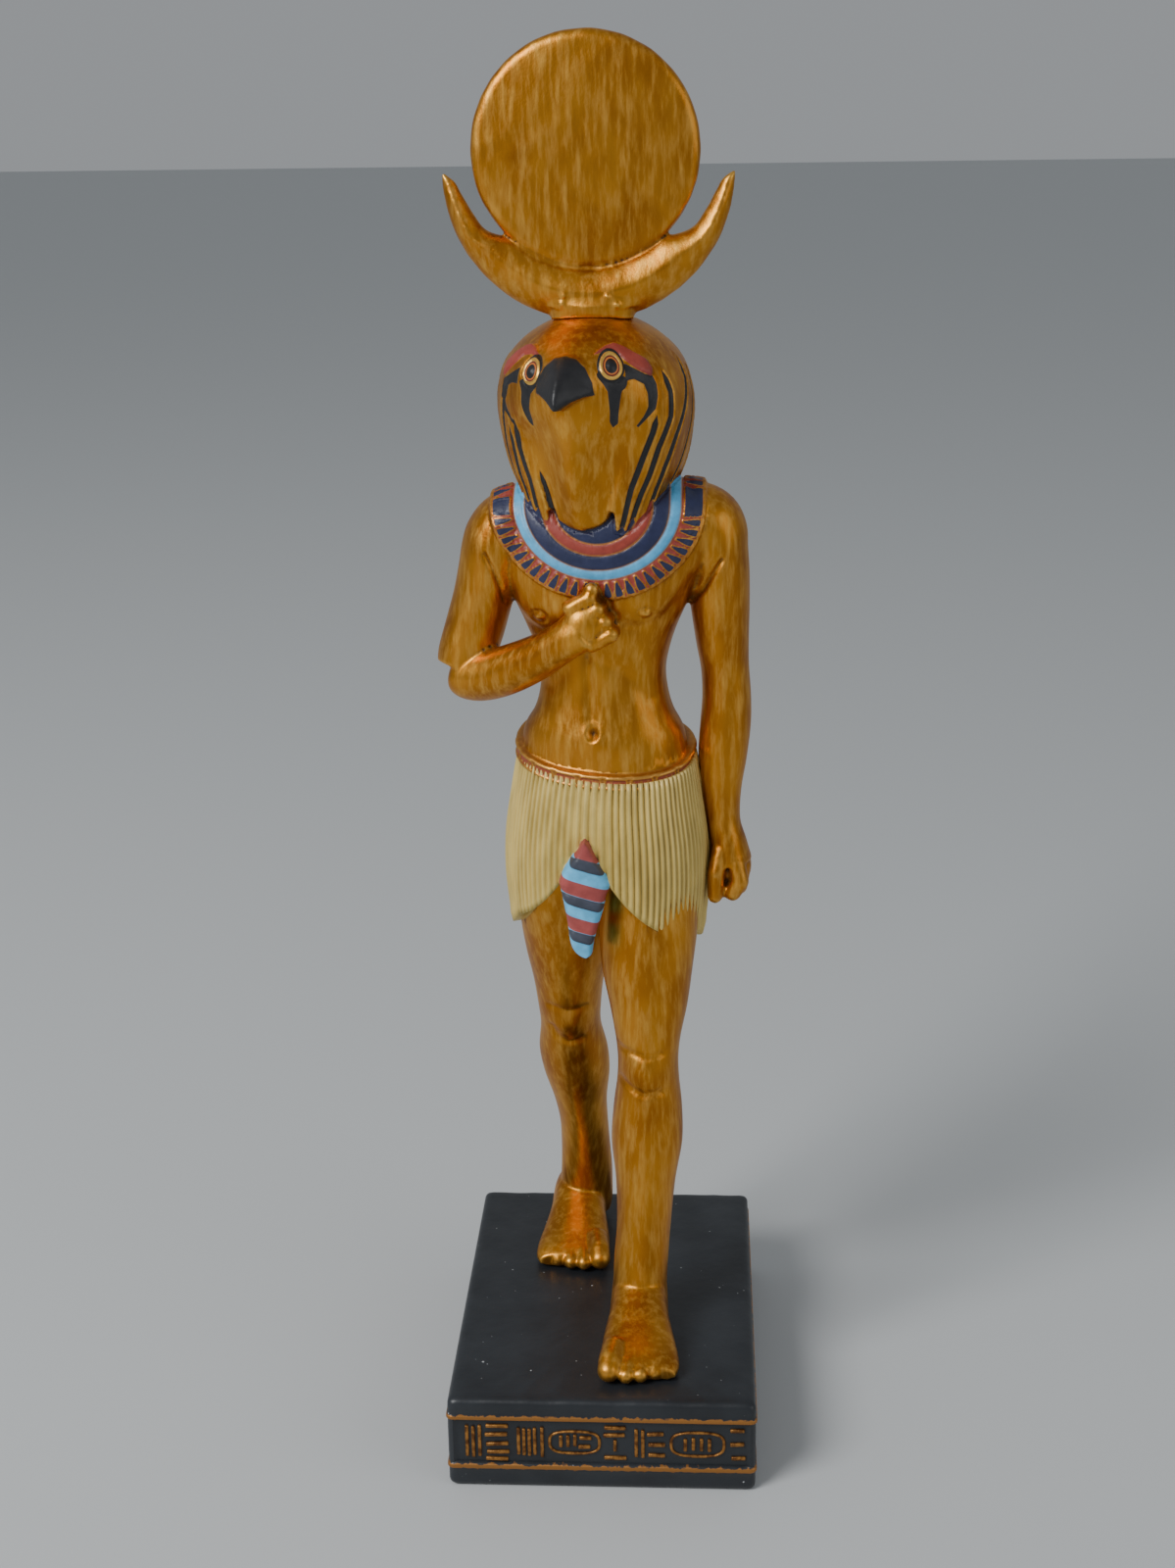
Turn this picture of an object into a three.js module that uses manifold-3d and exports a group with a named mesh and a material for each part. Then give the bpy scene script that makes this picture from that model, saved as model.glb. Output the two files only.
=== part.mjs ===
// A falcon-headed moon god striding on a block base, as a painted resin statuette.
// Units are millimetres. +Z is up, the figure faces -Y.
// The origin is the middle of the base's underside.
import * as THREE from "three";
import { mergeVertices } from "three/addons/utils/BufferGeometryUtils.js";
import Module from "manifold-3d";

const wasm = await Module();
wasm.setup();

// Driving dimensions of the base
const BASE_WIDTH = 66;
const BASE_LENGTH = 90;
const BASE_HEIGHT = 21.6;
const BASE_EDGE = 1.4;
const BAND_LOW = 5.2;
const BAND_HIGH = 17.2;
const BAND_DEPTH = 0.6;
const BAND_INSET = 1.6;
const LINE_WIDTH = 0.9;
const LINE_PROUD = 0.3;

// Heights of the figure, from the base's underside
const GAP = 0.3;
const SOLE = BASE_HEIGHT + GAP;
const HEM = 107;
const FLAPS_MEET = 133.8;
const FLAPS_MEET_X = -3.6;
const HEM_SWEEP = 30;
const HEM_RUN = 13.5;
const HEM_CUP = 0.12;
const KILT_TOP = 152;
const KILT_X = 0.6;
const KILT_Y = 8.2;
const KILT_ROWS = 5;
const KILT_SIDES = 32;
const BELT_MIDDLE = 149.6;
const BELT_WIDTH = 2.8;
const BELT_SLOPE = 0.26;
const BELT_HALF_WIDTH = 18.9;
const BELT_HALF_DEPTH = 13.7;
const HIP_TURN = -0.2;
const BODY_Y = 8;
const CROWN = 241;

// The head is turned towards the figure's right
const HEAD_TURN = THREE.MathUtils.degToRad(-14);
const HEAD_X = -0.8;
const HEAD_LEAN = -0.02;
const HEAD_MIDDLE = 222;
const HEAD_Y = 8;

// The headdress: a full disc in a lying crescent
const DISC_X = -2.35;
const DISC_RADIUS = 22.65;
const DISC_HEIGHT = 272.6;
const DISC_THICKNESS = 6.2;
const DISC_EDGE = 1.1;
const CRESCENT_X = -1.85;
const CRESCENT_RADIUS = 29;
const CRESCENT_HEIGHT = 268.6;
const HORN_TIP_DEPTH = 1.2;
const HORN_ROOT_DEPTH = 4.6;
const HEADDRESS_Y = 6.5;
const FOOT_X = -1.3;
const FOOT_HALF_WIDTH = 8.6;
const FOOT_HALF_DEPTH = 5.4;

// How far the collar stands out from the chest
const COLLAR_PROUD = 0.9;
const COLLAR_X = -0.6;
const COLLAR_Z = 204;
const COLLAR_HALF_WIDTH = 22.2;
const COLLAR_DROP = 18.6;
const COLLAR_DROP_BEHIND = 13;
const COLLAR_TOP = 216;

// The tab between the kilt's flaps
const TAB_FRONT = -11.4;
const TAB_BACK = -4;

// Points in a level section, in a limb's section and in a horn's
const SIDES = 24;
const LIMB_SIDES = 14;
const HORN_SIDES = 10;
const HORN_STEPS = 30;
const DISC_SIDES = 48;
const DISC_STEPS = 3;
const SECTION_POWER = 2.2;
const HORN_POWER = 1.6;

// A closed ring of points on a superellipse; front and back may have their own depths
function ring(centre, across, along, side, front, back, power, count) {
  const points = [];
  for (let i = 0; i < count; i += 1) {
    const angle = (2 * Math.PI * i) / count;
    const c = Math.cos(angle);
    const s = Math.sin(angle);
    const u = Math.sign(c) * Math.abs(c) ** (2 / power) * side;
    const v = Math.sign(s) * Math.abs(s) ** (2 / power) * (s < 0 ? front : back);
    points.push(centre.clone().addScaledVector(across, u).addScaledVector(along, v));
  }
  return points;
}

// A closed skin over rings of equal count, with each end closed by a fan
function skin(rings) {
  const count = rings[0].length;
  const positions = rings.flat().flatMap((p) => [p.x, p.y, p.z]);
  const index = [];
  for (let k = 0; k + 1 < rings.length; k += 1) {
    for (let i = 0; i < count; i += 1) {
      const a = k * count + i;
      const b = k * count + ((i + 1) % count);
      index.push(a, b, b + count, a, b + count, a + count);
    }
  }
  const ends = [
    [0, false],
    [rings.length - 1, true],
  ];
  for (const [k, top] of ends) {
    const middle = new THREE.Vector3();
    rings[k].forEach((p) => middle.addScaledVector(p, 1 / count));
    const hub = positions.length / 3;
    positions.push(middle.x, middle.y, middle.z);
    for (let i = 0; i < count; i += 1) {
      const a = k * count + i;
      const b = k * count + ((i + 1) % count);
      index.push(...(top ? [hub, a, b] : [hub, b, a]));
    }
  }
  const geometry = new THREE.BufferGeometry();
  geometry.setAttribute("position", new THREE.Float32BufferAttribute(positions, 3));
  geometry.setIndex(index);
  return geometry;
}

// A body built up from level slices, each { z, x, y, side, front, back, power, turn }
function slices(list, count = SIDES, swell = 0) {
  return skin(
    list.map((s) => {
      const turn = s.turn ?? 0;
      const across = new THREE.Vector3(Math.cos(turn), Math.sin(turn), 0);
      const along = new THREE.Vector3(-Math.sin(turn), Math.cos(turn), 0);
      const centre = new THREE.Vector3(s.x, s.y, s.z);
      const [side, front, back] = [s.side, s.front, s.back ?? s.front].map((size) => size + swell);
      return ring(centre, across, along, side, front, back, s.power ?? SECTION_POWER, count);
    }),
  );
}

// A limb along a bent path, each stop { at: [x, y, z], side, deep }; its rings stand square to the path.
// The rings start lined up with the Y axis and are carried along without twist.
function limb(stops, count = LIMB_SIDES, swell = 0) {
  const points = stops.map((s) => new THREE.Vector3(...s.at));
  const across = new THREE.Vector3(0, 1, 0);
  return skin(
    stops.map((s, i) => {
      const before = points[Math.max(i - 1, 0)];
      const after = points[Math.min(i + 1, points.length - 1)];
      const forward = after.clone().sub(before).normalize();
      across.addScaledVector(forward, -across.dot(forward)).normalize();
      const along = forward.clone().cross(across);
      const deep = s.deep + swell;
      const side = s.side + swell;
      return ring(points[i], across, along, deep, side, side, 2, count);
    }),
  );
}

// An egg-shaped lump at a place
function lump(at, side, deep, high, turn = 0) {
  const geometry = new THREE.SphereGeometry(1, 8, 5);
  geometry.scale(side, high, deep);
  geometry.rotateX(Math.PI / 2);
  geometry.rotateZ(turn);
  geometry.translate(...at);
  return geometry;
}

// An outline in the front view, carried straight back from one depth to another
function frontPrism(outline, from, to) {
  const shape = new THREE.Shape(outline.map(([x, z]) => new THREE.Vector2(x, z)));
  const geometry = new THREE.ExtrudeGeometry(shape, { depth: to - from, bevelEnabled: false });
  geometry.rotateX(Math.PI / 2);
  geometry.translate(0, to, 0);
  return geometry;
}

// Solids join and cut as closed shells, so a geometry's double vertices are merged first
function solidOf(geometry) {
  const bare = geometry.index ? geometry.toNonIndexed() : geometry.clone();
  bare.deleteAttribute("normal");
  bare.deleteAttribute("uv");
  const merged = mergeVertices(bare, 1e-3);
  const vertProperties = merged.attributes.position.array;
  const triVerts = new Uint32Array(merged.index.array);
  const solid = new wasm.Manifold(new wasm.Mesh({ numProp: 3, vertProperties, triVerts }));
  if (solid.volume() > 0) {
    return solid;
  }
  for (let i = 0; i < triVerts.length; i += 3) {
    [triVerts[i + 1], triVerts[i + 2]] = [triVerts[i + 2], triVerts[i + 1]];
  }
  return new wasm.Manifold(new wasm.Mesh({ numProp: 3, vertProperties, triVerts }));
}

function joined(...geometries) {
  return geometries.map(solidOf).reduce((whole, next) => whole.add(next));
}

// A named mesh of its own finish from a joined solid
function piece(name, solid, color, roughness, metalness) {
  const mesh = solid.getMesh();
  const geometry = new THREE.BufferGeometry();
  geometry.setAttribute("position", new THREE.Float32BufferAttribute(mesh.vertProperties, 3));
  geometry.setIndex(new THREE.Uint32BufferAttribute(mesh.triVerts, 1));
  geometry.computeVertexNormals();
  const material = new THREE.MeshStandardMaterial({ color, roughness, metalness });
  const made = new THREE.Mesh(geometry, material);
  made.name = name;
  return made;
}

// The trunk from the hips to the root of the neck. The hips are turned a little, the chest less
const trunkSlices = [
  { z: 128, x: 0.3, y: 8, side: 19.5, front: 15, back: 15, turn: -0.2 },
  { z: 147, x: 0.1, y: 8, side: 18.2, front: 12.6, back: 13, turn: -0.2 },
  { z: 154, x: 0, y: 8, side: 17.2, front: 12, back: 12.4, turn: -0.18 },
  { z: 158.6, x: 0.1, y: 8, side: 14.6, front: 11.4, back: 11, turn: -0.16 },
  { z: 163, x: 0.1, y: 8, side: 13.6, front: 10.6, back: 10, turn: -0.14 },
  { z: 167.5, x: 0, y: 8, side: 13.3, front: 10.4, back: 10, turn: -0.12 },
  { z: 172, x: 0, y: 8, side: 14.1, front: 11, back: 10.8, turn: -0.11 },
  { z: 177, x: -0.2, y: 8, side: 15.9, front: 12, back: 12, turn: -0.1 },
  { z: 183, x: -0.2, y: 8, side: 18.6, front: 13, back: 13, turn: -0.1 },
  { z: 189, x: 0, y: 8, side: 21.5, front: 13.6, back: 13.2, turn: -0.1 },
  { z: 195, x: 0.3, y: 8, side: 23.5, front: 13.4, back: 12.8, turn: -0.1 },
  { z: 200, x: 0.6, y: 8, side: 23.5, front: 12.6, back: 12.2, turn: -0.1 },
  { z: 203.5, x: 0.8, y: 8, side: 21.5, front: 11.4, back: 11.4, turn: -0.1 },
  { z: 207, x: 0.8, y: 8, side: 16, front: 9.6, back: 10.4, turn: -0.1 },
  { z: 211, x: 0.3, y: 8, side: 11, front: 8, back: 9 },
];

// The kilt wraps both thighs, wider below than at the belt
const kiltSlices = [
  { z: 104, side: 20, front: 18.5, back: 17.6, turn: -0.16 },
  { z: 113, side: 21, front: 18.6, back: 17.8, turn: -0.17 },
  { z: 122, side: 21.9, front: 18.2, back: 17.6, turn: -0.18 },
  { z: 131, side: 21.7, front: 17.4, back: 17, turn: -0.19 },
  { z: 140, side: 20.4, front: 15.6, back: 15.6, turn: -0.2 },
  { z: 147, side: 19.2, front: 13.6, back: 14, turn: -0.2 },
  { z: 153, side: 18, front: 12.6, back: 13, turn: -0.2 },
];

function between(slicesUp, z, key) {
  const next = Math.max(1, slicesUp.findIndex((s) => s.z >= z));
  const [low, high] = [slicesUp[next - 1], slicesUp[next]];
  return THREE.MathUtils.mapLinear(z, low.z, high.z, low[key], high[key]);
}

// The hem hangs level behind and sweeps up in front to the point where the two flaps meet
function hemHeight(x, y) {
  const run = Math.abs(x - FLAPS_MEET_X) + Math.max(0, y);
  return Math.max(HEM, FLAPS_MEET - HEM_SWEEP * (1 - Math.exp(-run / HEM_RUN)));
}

function kiltPoint(angle, z) {
  const [side, turn] = [between(kiltSlices, z, "side"), between(kiltSlices, z, "turn")];
  const deep = between(kiltSlices, z, Math.sin(angle) < 0 ? "front" : "back");
  const power = 2 / SECTION_POWER;
  const u = Math.sign(Math.cos(angle)) * Math.abs(Math.cos(angle)) ** power * side;
  const v = Math.sign(Math.sin(angle)) * Math.abs(Math.sin(angle)) ** power * deep;
  return new THREE.Vector3(
    KILT_X + u * Math.cos(turn) - v * Math.sin(turn),
    KILT_Y + u * Math.sin(turn) + v * Math.cos(turn),
    z,
  );
}

function kiltSkin() {
  const rings = [];
  for (let row = 0; row <= KILT_ROWS; row += 1) {
    const points = [];
    for (let i = 0; i < KILT_SIDES; i += 1) {
      const angle = (2 * Math.PI * i) / KILT_SIDES;
      let hem = HEM;
      for (let pass = 0; pass < 3; pass += 1) {
        const p = kiltPoint(angle, hem);
        hem = hemHeight(p.x, p.y);
      }
      points.push(kiltPoint(angle, THREE.MathUtils.lerp(hem, KILT_TOP, row / KILT_ROWS)));
    }
    rings.push(points);
  }
  const middle = new THREE.Vector3(KILT_X, KILT_Y, FLAPS_MEET);
  const inner = rings[0].map((p) => p.clone().lerp(middle, HEM_CUP));
  return skin([inner, ...rings]);
}

// The left leg steps forward
const frontLeg = [
  { z: SOLE + 4, x: 7.4, y: -12.2, side: 6.4, front: 6.4, back: 7.2 },
  { z: 31, x: 7.5, y: -11.6, side: 6.1, front: 6, back: 6.6 },
  { z: 37, x: 7.8, y: -10.8, side: 6.1, front: 5.8, back: 6 },
  { z: 45, x: 8.4, y: -9.8, side: 6, front: 5.9, back: 6.4 },
  { z: 55, x: 8.8, y: -8.6, side: 6.6, front: 6.4, back: 7.6 },
  { z: 64, x: 9.1, y: -7.6, side: 7.8, front: 7, back: 9 },
  { z: 72, x: 9.3, y: -6.6, side: 7.5, front: 7.4, back: 8.8 },
  { z: 78, x: 9.4, y: -6, side: 6.8, front: 7.6, back: 8 },
  { z: 83, x: 9.4, y: -5.4, side: 6.6, front: 8, back: 7.8 },
  { z: 88, x: 9.4, y: -4.6, side: 7.1, front: 8.2, back: 8.2 },
  { z: 95, x: 9.5, y: -3, side: 8.5, front: 8.8, back: 9.4 },
  { z: 103, x: 9.2, y: -1.2, side: 9.9, front: 9.6, back: 10.8 },
  { z: 112, x: 9.4, y: 1, side: 10.8, front: 10.6, back: 11.8 },
  { z: 124, x: 9.6, y: 4, side: 11.2, front: 11.6, back: 12 },
  { z: 140, x: 8.8, y: 7, side: 9.6, front: 11, back: 11 },
];

// The right leg trails
const backLeg = [
  { z: SOLE + 4, x: -7.1, y: 33.4, side: 6.8, front: 6.6, back: 6.8 },
  { z: 31, x: -6.6, y: 32.6, side: 6.3, front: 6, back: 6.2 },
  { z: 37, x: -6.4, y: 31, side: 6.1, front: 5.8, back: 5.8 },
  { z: 44, x: -6.5, y: 29.2, side: 5.8, front: 5.6, back: 6 },
  { z: 51, x: -6.7, y: 27, side: 5.7, front: 5.8, back: 6.8 },
  { z: 58, x: -7.3, y: 25, side: 6.2, front: 6.2, back: 8 },
  { z: 66, x: -7.9, y: 22.6, side: 7.6, front: 6.8, back: 8.8 },
  { z: 73, x: -8.5, y: 20.6, side: 7.9, front: 7.2, back: 8.2 },
  { z: 80, x: -8.9, y: 18.8, side: 6.9, front: 7.8, back: 7.4 },
  { z: 86, x: -9, y: 17.2, side: 7.2, front: 8, back: 7.6 },
  { z: 93, x: -9, y: 15.6, side: 8, front: 8.6, back: 8.8 },
  { z: 101, x: -8.9, y: 14, side: 9.5, front: 9.6, back: 10 },
  { z: 110, x: -9.1, y: 12.4, side: 10.3, front: 10.6, back: 10.6 },
  { z: 124, x: -9.1, y: 10, side: 11, front: 11.6, back: 11.4 },
  { z: 140, x: -8.3, y: 8, side: 9.6, front: 11, back: 11 },
];

// A foot along its own length from the heel, y forward; big is the side of the big toe
function foot(heelX, heelY, big) {
  const sections = [
    { y: 0, x: 0, side: 3, top: 7 },
    { y: 2, x: 0, side: 5, top: 10.5 },
    { y: 8, x: 0, side: 6.2, top: 12.5 },
    { y: 15, x: 0, side: 6.6, top: 9.6 },
    { y: 21, x: 0.1, side: 7.6, top: 6.9 },
    { y: 27, x: 0.4, side: 8.4, top: 5 },
    { y: 31, x: 0.6, side: 8.5, top: 3.9 },
    { y: 33, x: 0.6, side: 8, top: 3 },
  ];
  const up = new THREE.Vector3(0, 0, 1);
  const across = new THREE.Vector3(-1, 0, 0);
  const body = skin(
    sections.map((s) => {
      const centre = new THREE.Vector3(heelX - big * s.x, heelY - s.y, SOLE + s.top * 0.32);
      return ring(centre, across, up, s.side, s.top * 0.32, s.top * 0.68, 2.6, LIMB_SIDES);
    }),
  );
  const toes = [
    { x: 6, y: 33.4, r: 2.7 },
    { x: 2.4, y: 34, r: 1.9 },
    { x: -0.9, y: 33.6, r: 1.8 },
    { x: -4, y: 32.6, r: 1.7 },
    { x: -6.7, y: 30.4, r: 1.7 },
  ].map((t) => lump([heelX + big * t.x, heelY - t.y, SOLE + t.r], t.r, t.r * 1.7, t.r));
  return [body, ...toes];
}

// The right arm is bent, with its fist on the breast
const bentArm = [
  { at: [-10, 8, 200.4], side: 5.4, deep: 6 },
  { at: [-15.2, 8, 199.8], side: 6.6, deep: 7.4 },
  { at: [-19, 8, 197.9], side: 7.3, deep: 8.2 },
  { at: [-21.2, 8, 195.6], side: 7.3, deep: 8.2 },
  { at: [-22.4, 8, 193], side: 7, deep: 8.2 },
  { at: [-23.6, 8, 188.5], side: 6.6, deep: 7.6 },
  { at: [-25.2, 8, 182.5], side: 6.3, deep: 7 },
  { at: [-27.1, 7.8, 176], side: 6.3, deep: 6.6 },
  { at: [-28.9, 7.4, 170.4], side: 6.2, deep: 6.3 },
  { at: [-29.7, 6.9, 167.4], side: 6, deep: 6 },
  { at: [-28.8, 5.9, 165.6], side: 5.6, deep: 5.8 },
  { at: [-24.4, 3.4, 166.4], side: 5.4, deep: 5.6 },
  { at: [-18, -0.4, 169.6], side: 5, deep: 5.2 },
  { at: [-12, -4, 173.2], side: 4.6, deep: 4.6 },
  { at: [-7, -7, 176.6], side: 4.2, deep: 4 },
  { at: [-3.6, -8.8, 179.2], side: 4.6, deep: 4.2 },
];
const elbow = lump([-30.4, 7, 166.4], 5, 5.4, 5.4);

// The left arm hangs, with its fist beside the kilt
const hangingArm = [
  { at: [11, 8, 200.4], side: 5.4, deep: 6 },
  { at: [16.8, 8, 200.7], side: 6.8, deep: 7.4 },
  { at: [21, 8, 199.2], side: 7.5, deep: 8.2 },
  { at: [22.7, 8, 196.8], side: 7.5, deep: 8.2 },
  { at: [23.3, 8, 193], side: 7.1, deep: 8.2 },
  { at: [24.2, 8, 188], side: 6.5, deep: 7.6 },
  { at: [24.6, 8, 181], side: 6.2, deep: 7 },
  { at: [25.1, 8, 173.6], side: 5.6, deep: 6.4 },
  { at: [25.7, 8.2, 167.4], side: 5.1, deep: 5.8 },
  { at: [26.1, 8.2, 161], side: 5.2, deep: 5.8 },
  { at: [25.9, 7.8, 155], side: 5.4, deep: 5.8 },
  { at: [25.3, 7, 148], side: 5.2, deep: 5.4 },
  { at: [25, 6.2, 141], side: 4.4, deep: 4.6 },
  { at: [25.6, 5.6, 134], side: 3.7, deep: 4.2 },
  { at: [26.8, 5, 129], side: 4, deep: 4.6 },
];

// A closed fist: the palm, four bent fingers in a row and the thumb laid along them
function fist(palm, fingers, finger, thumb) {
  const row = fingers.map((at) => lump(at, ...finger));
  return [lump(...palm), ...row, lump(...thumb)];
}
const breastFist = fist(
  [[-1.8, -8.8, 180.8], 5, 4.6, 4.8],
  [3.4, 1.2, -1.2, -3.4].map((rise) => [0.9 - rise * 0.25, -9.8, 180.8 + rise]),
  [2.8, 2.9, 1.7],
  [[-1.4, -10, 186.4], 1.9, 2.6, 2.4],
);
const hangingFist = fist(
  [[27, 5.4, 123.8], 5, 4.8, 6.2],
  [3.6, 1.2, -1.2, -3.6].map((along) => [26.2, 4.6 + along, 119.2]),
  [4, 1.7, 2.9],
  [[28.2, 0.2, 122.4], 2.4, 2, 3.6],
);

// The head, its headcloth and the bird's throat, in the head's own turned frame
function atHead(side, forward, z) {
  return [
    HEAD_X + HEAD_LEAN * (z - HEAD_MIDDLE) + side * Math.cos(HEAD_TURN) + forward * Math.sin(HEAD_TURN),
    HEAD_Y + side * Math.sin(HEAD_TURN) - forward * Math.cos(HEAD_TURN),
    z,
  ];
}

function headSlices(list) {
  return list.map(([z, forward, side, front, back, power]) => {
    const [x, y] = atHead(0, forward, z);
    return { z, x, y, side, front, back, power, turn: HEAD_TURN };
  });
}

const headcloth = headSlices([
  [196, 0, 15.5, 12.5, 16, 2.4],
  [203, 0, 17, 13.5, 17, 2.4],
  [209, 0, 17.7, 14.5, 17.8, 2.4],
  [216, 0, 19, 16.4, 18.6, 2.3],
  [222, 0, 19.8, 18.8, 19, 2.2],
  [227, 0, 19.5, 20.4, 18.6, 2.1],
  [232, 0, 17.8, 20.2, 17.4, 2.1],
  [236, 0, 14.6, 16.6, 14.6, 2],
  [239, 0, 10.2, 12, 10.8, 2],
  [CROWN, 0, 6, 6.8, 6, 2],
]);
const throat = headSlices([
  [199, 4, 4.8, 10.2, 4, 2],
  [204, 4, 5.9, 12, 4, 2],
  [210, 4, 7.4, 13.9, 4, 2],
  [216, 4, 10.4, 16.2, 4, 2],
  [221, 4, 13.4, 17.6, 4, 2],
  [226, 4, 14.4, 18.4, 4, 2],
  [231, 4, 12, 17.6, 4, 2],
  [235, 4, 8, 13.6, 4, 2],
]);
const eyes = [-8.5, 8.5].map((side) => lump(atHead(side, 18.4, 232.4), 2.6, 1.8, 1.7, HEAD_TURN));

// The hooked beak grows out of the face and ends in a point turned down
function beakSkin() {
  const sections = [
    { out: 15, wide: 5, low: 226.5, high: 234.5 },
    { out: 19.5, wide: 5.6, low: 226, high: 235.2 },
    { out: 22.5, wide: 5.3, low: 225.8, high: 234.6 },
    { out: 25.2, wide: 4.2, low: 225.4, high: 232.8 },
    { out: 27.2, wide: 2.8, low: 224.8, high: 230.4 },
    { out: 28.4, wide: 1.2, low: 224, high: 227.4 },
  ];
  const up = new THREE.Vector3(0, 0, 1);
  const across = new THREE.Vector3(Math.cos(HEAD_TURN), Math.sin(HEAD_TURN), 0);
  return skin(
    sections.map((s) => {
      const middle = s.low + (s.high - s.low) * 0.3;
      const centre = new THREE.Vector3(...atHead(0, s.out, middle));
      return ring(centre, across, up, s.wide, middle - s.low, s.high - middle, 2, 12);
    }),
  );
}

// The belt is a band round the top of the kilt, lower in front than behind
function belt() {
  const across = new THREE.Vector3(Math.cos(HIP_TURN), Math.sin(HIP_TURN), 0);
  const along = new THREE.Vector3(-Math.sin(HIP_TURN), Math.cos(HIP_TURN), 0);
  const deep = BELT_HALF_DEPTH;
  const rings = [-0.5, 0.5].map((share) => {
    const centre = new THREE.Vector3(0, BODY_Y, BELT_MIDDLE + share * BELT_WIDTH);
    const points = ring(centre, across, along, BELT_HALF_WIDTH, deep, deep, SECTION_POWER, KILT_SIDES);
    points.forEach((p) => {
      p.z += BELT_SLOPE * (p.y - BODY_Y);
    });
    return points;
  });
  return skin(rings);
}

// The broad collar follows the chest and shoulders a little proud of them, and hangs less behind
function collar() {
  const shells = [
    slices(trunkSlices, SIDES, COLLAR_PROUD),
    limb(bentArm.slice(0, 5), LIMB_SIDES, COLLAR_PROUD),
    limb(hangingArm.slice(0, 5), LIMB_SIDES, COLLAR_PROUD),
  ];
  const sheet = (drop, from, to) => {
    const outline = [];
    for (let i = 0; i <= SIDES; i += 1) {
      const angle = Math.PI + (Math.PI * i) / SIDES;
      outline.push([COLLAR_X + COLLAR_HALF_WIDTH * Math.cos(angle), COLLAR_Z + drop * Math.sin(angle)]);
    }
    outline.push([COLLAR_X + COLLAR_HALF_WIDTH, COLLAR_TOP], [COLLAR_X - COLLAR_HALF_WIDTH, COLLAR_TOP]);
    return frontPrism(outline, from, to);
  };
  const front = sheet(COLLAR_DROP, BODY_Y - 30, BODY_Y);
  const back = sheet(COLLAR_DROP_BEHIND, BODY_Y - GAP, BODY_Y + 30);
  return joined(...shells).intersect(joined(front, back));
}

// The painted tab that hangs in the kilt's opening, pointed above and narrow below
function tab() {
  const outline = [
    [-3.6, 134.5], [-9.6, 125.6], [-9, 121], [-7.8, 110], [-7, 108.2],
    [-3.8, 108.2], [-3, 110], [0.6, 121], [1.6, 125.6],
  ];
  return frontPrism(outline, TAB_FRONT, TAB_BACK);
}

const figure = joined(
  slices(trunkSlices),
  slices(frontLeg, LIMB_SIDES),
  slices(backLeg, LIMB_SIDES),
  ...foot(7.4, -3.6, -1),
  ...foot(-8.4, 41.6, 1),
  limb(bentArm),
  elbow,
  limb(hangingArm),
  ...breastFist,
  ...hangingFist,
  slices(headcloth),
  slices(throat, LIMB_SIDES),
  ...eyes,
  beakSkin(),
  kiltSkin(),
  belt(),
  tab(),
).add(collar());

// The disc is a shallow lens and the crescent a tapering horn along an arc
function disc() {
  const half = DISC_THICKNESS / 2;
  const profile = [new THREE.Vector2(0, -half)];
  for (let i = 1; i <= DISC_STEPS; i += 1) {
    const share = i / DISC_STEPS;
    profile.push(new THREE.Vector2(DISC_RADIUS * share, (half - DISC_EDGE) * share ** 2 - half));
  }
  const upper = profile.slice().reverse();
  upper.forEach((p) => profile.push(new THREE.Vector2(p.x, -p.y)));
  const geometry = new THREE.LatheGeometry(profile, DISC_SIDES);
  geometry.translate(DISC_X, HEADDRESS_Y, DISC_HEIGHT);
  return geometry;
}

// Each horn is slim at its tip and swells to where it closes on the disc: [degrees from the tip, width]
const hornWidths = [
  [0, 1.6], [9, 3.4], [19, 4.6], [29, 5.8], [35, 7.9],
  [40, 9.7], [50, 10.8], [70, 11.2], [90, 11.2],
];

function hornWidth(degrees) {
  const next = Math.max(1, hornWidths.findIndex(([d]) => d >= degrees));
  const [[d0, w0], [d1, w1]] = [hornWidths[next - 1], hornWidths[next]];
  return THREE.MathUtils.mapLinear(degrees, d0, d1, w0, w1);
}

function crescent() {
  const rings = [];
  const back = new THREE.Vector3(0, 1, 0);
  for (let i = 0; i <= HORN_STEPS; i += 1) {
    const angle = Math.PI + (Math.PI * i) / HORN_STEPS;
    const fromTip = 90 - Math.abs(90 - (180 * i) / HORN_STEPS);
    const width = hornWidth(fromTip);
    const outward = new THREE.Vector3(Math.cos(angle), 0, Math.sin(angle));
    const centre = new THREE.Vector3(CRESCENT_X, HEADDRESS_Y, CRESCENT_HEIGHT);
    centre.addScaledVector(outward, CRESCENT_RADIUS - width / 2);
    const deep = THREE.MathUtils.lerp(HORN_TIP_DEPTH, HORN_ROOT_DEPTH, Math.abs(Math.sin(angle)));
    rings.push(ring(centre, outward, back, width / 2, deep, deep, HORN_POWER, HORN_SIDES));
  }
  return skin(rings);
}

// The crescent stands on a short foot, cut to the crown that it is glued to
function headdress() {
  const levels = [
    { z: CROWN - 4, side: FOOT_HALF_WIDTH, front: FOOT_HALF_DEPTH },
    { z: CROWN, side: FOOT_HALF_WIDTH, front: FOOT_HALF_DEPTH },
    { z: CROWN + 4, side: FOOT_HALF_WIDTH + 2, front: HORN_ROOT_DEPTH },
  ];
  const stem = slices(levels.map((level) => ({ ...level, x: FOOT_X, y: HEADDRESS_Y })), LIMB_SIDES);
  const crown = slices(headcloth, SIDES, GAP);
  crown.translate(0, 0, GAP);
  return joined(crescent(), disc(), stem).subtract(solidOf(crown));
}

// A plain block from its lowest to its highest corner
function block(low, high) {
  const size = high.map((h, i) => h - low[i]);
  const geometry = new THREE.BoxGeometry(...size);
  geometry.translate(...low.map((l, i) => l + size[i] / 2));
  return solidOf(geometry);
}

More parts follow.
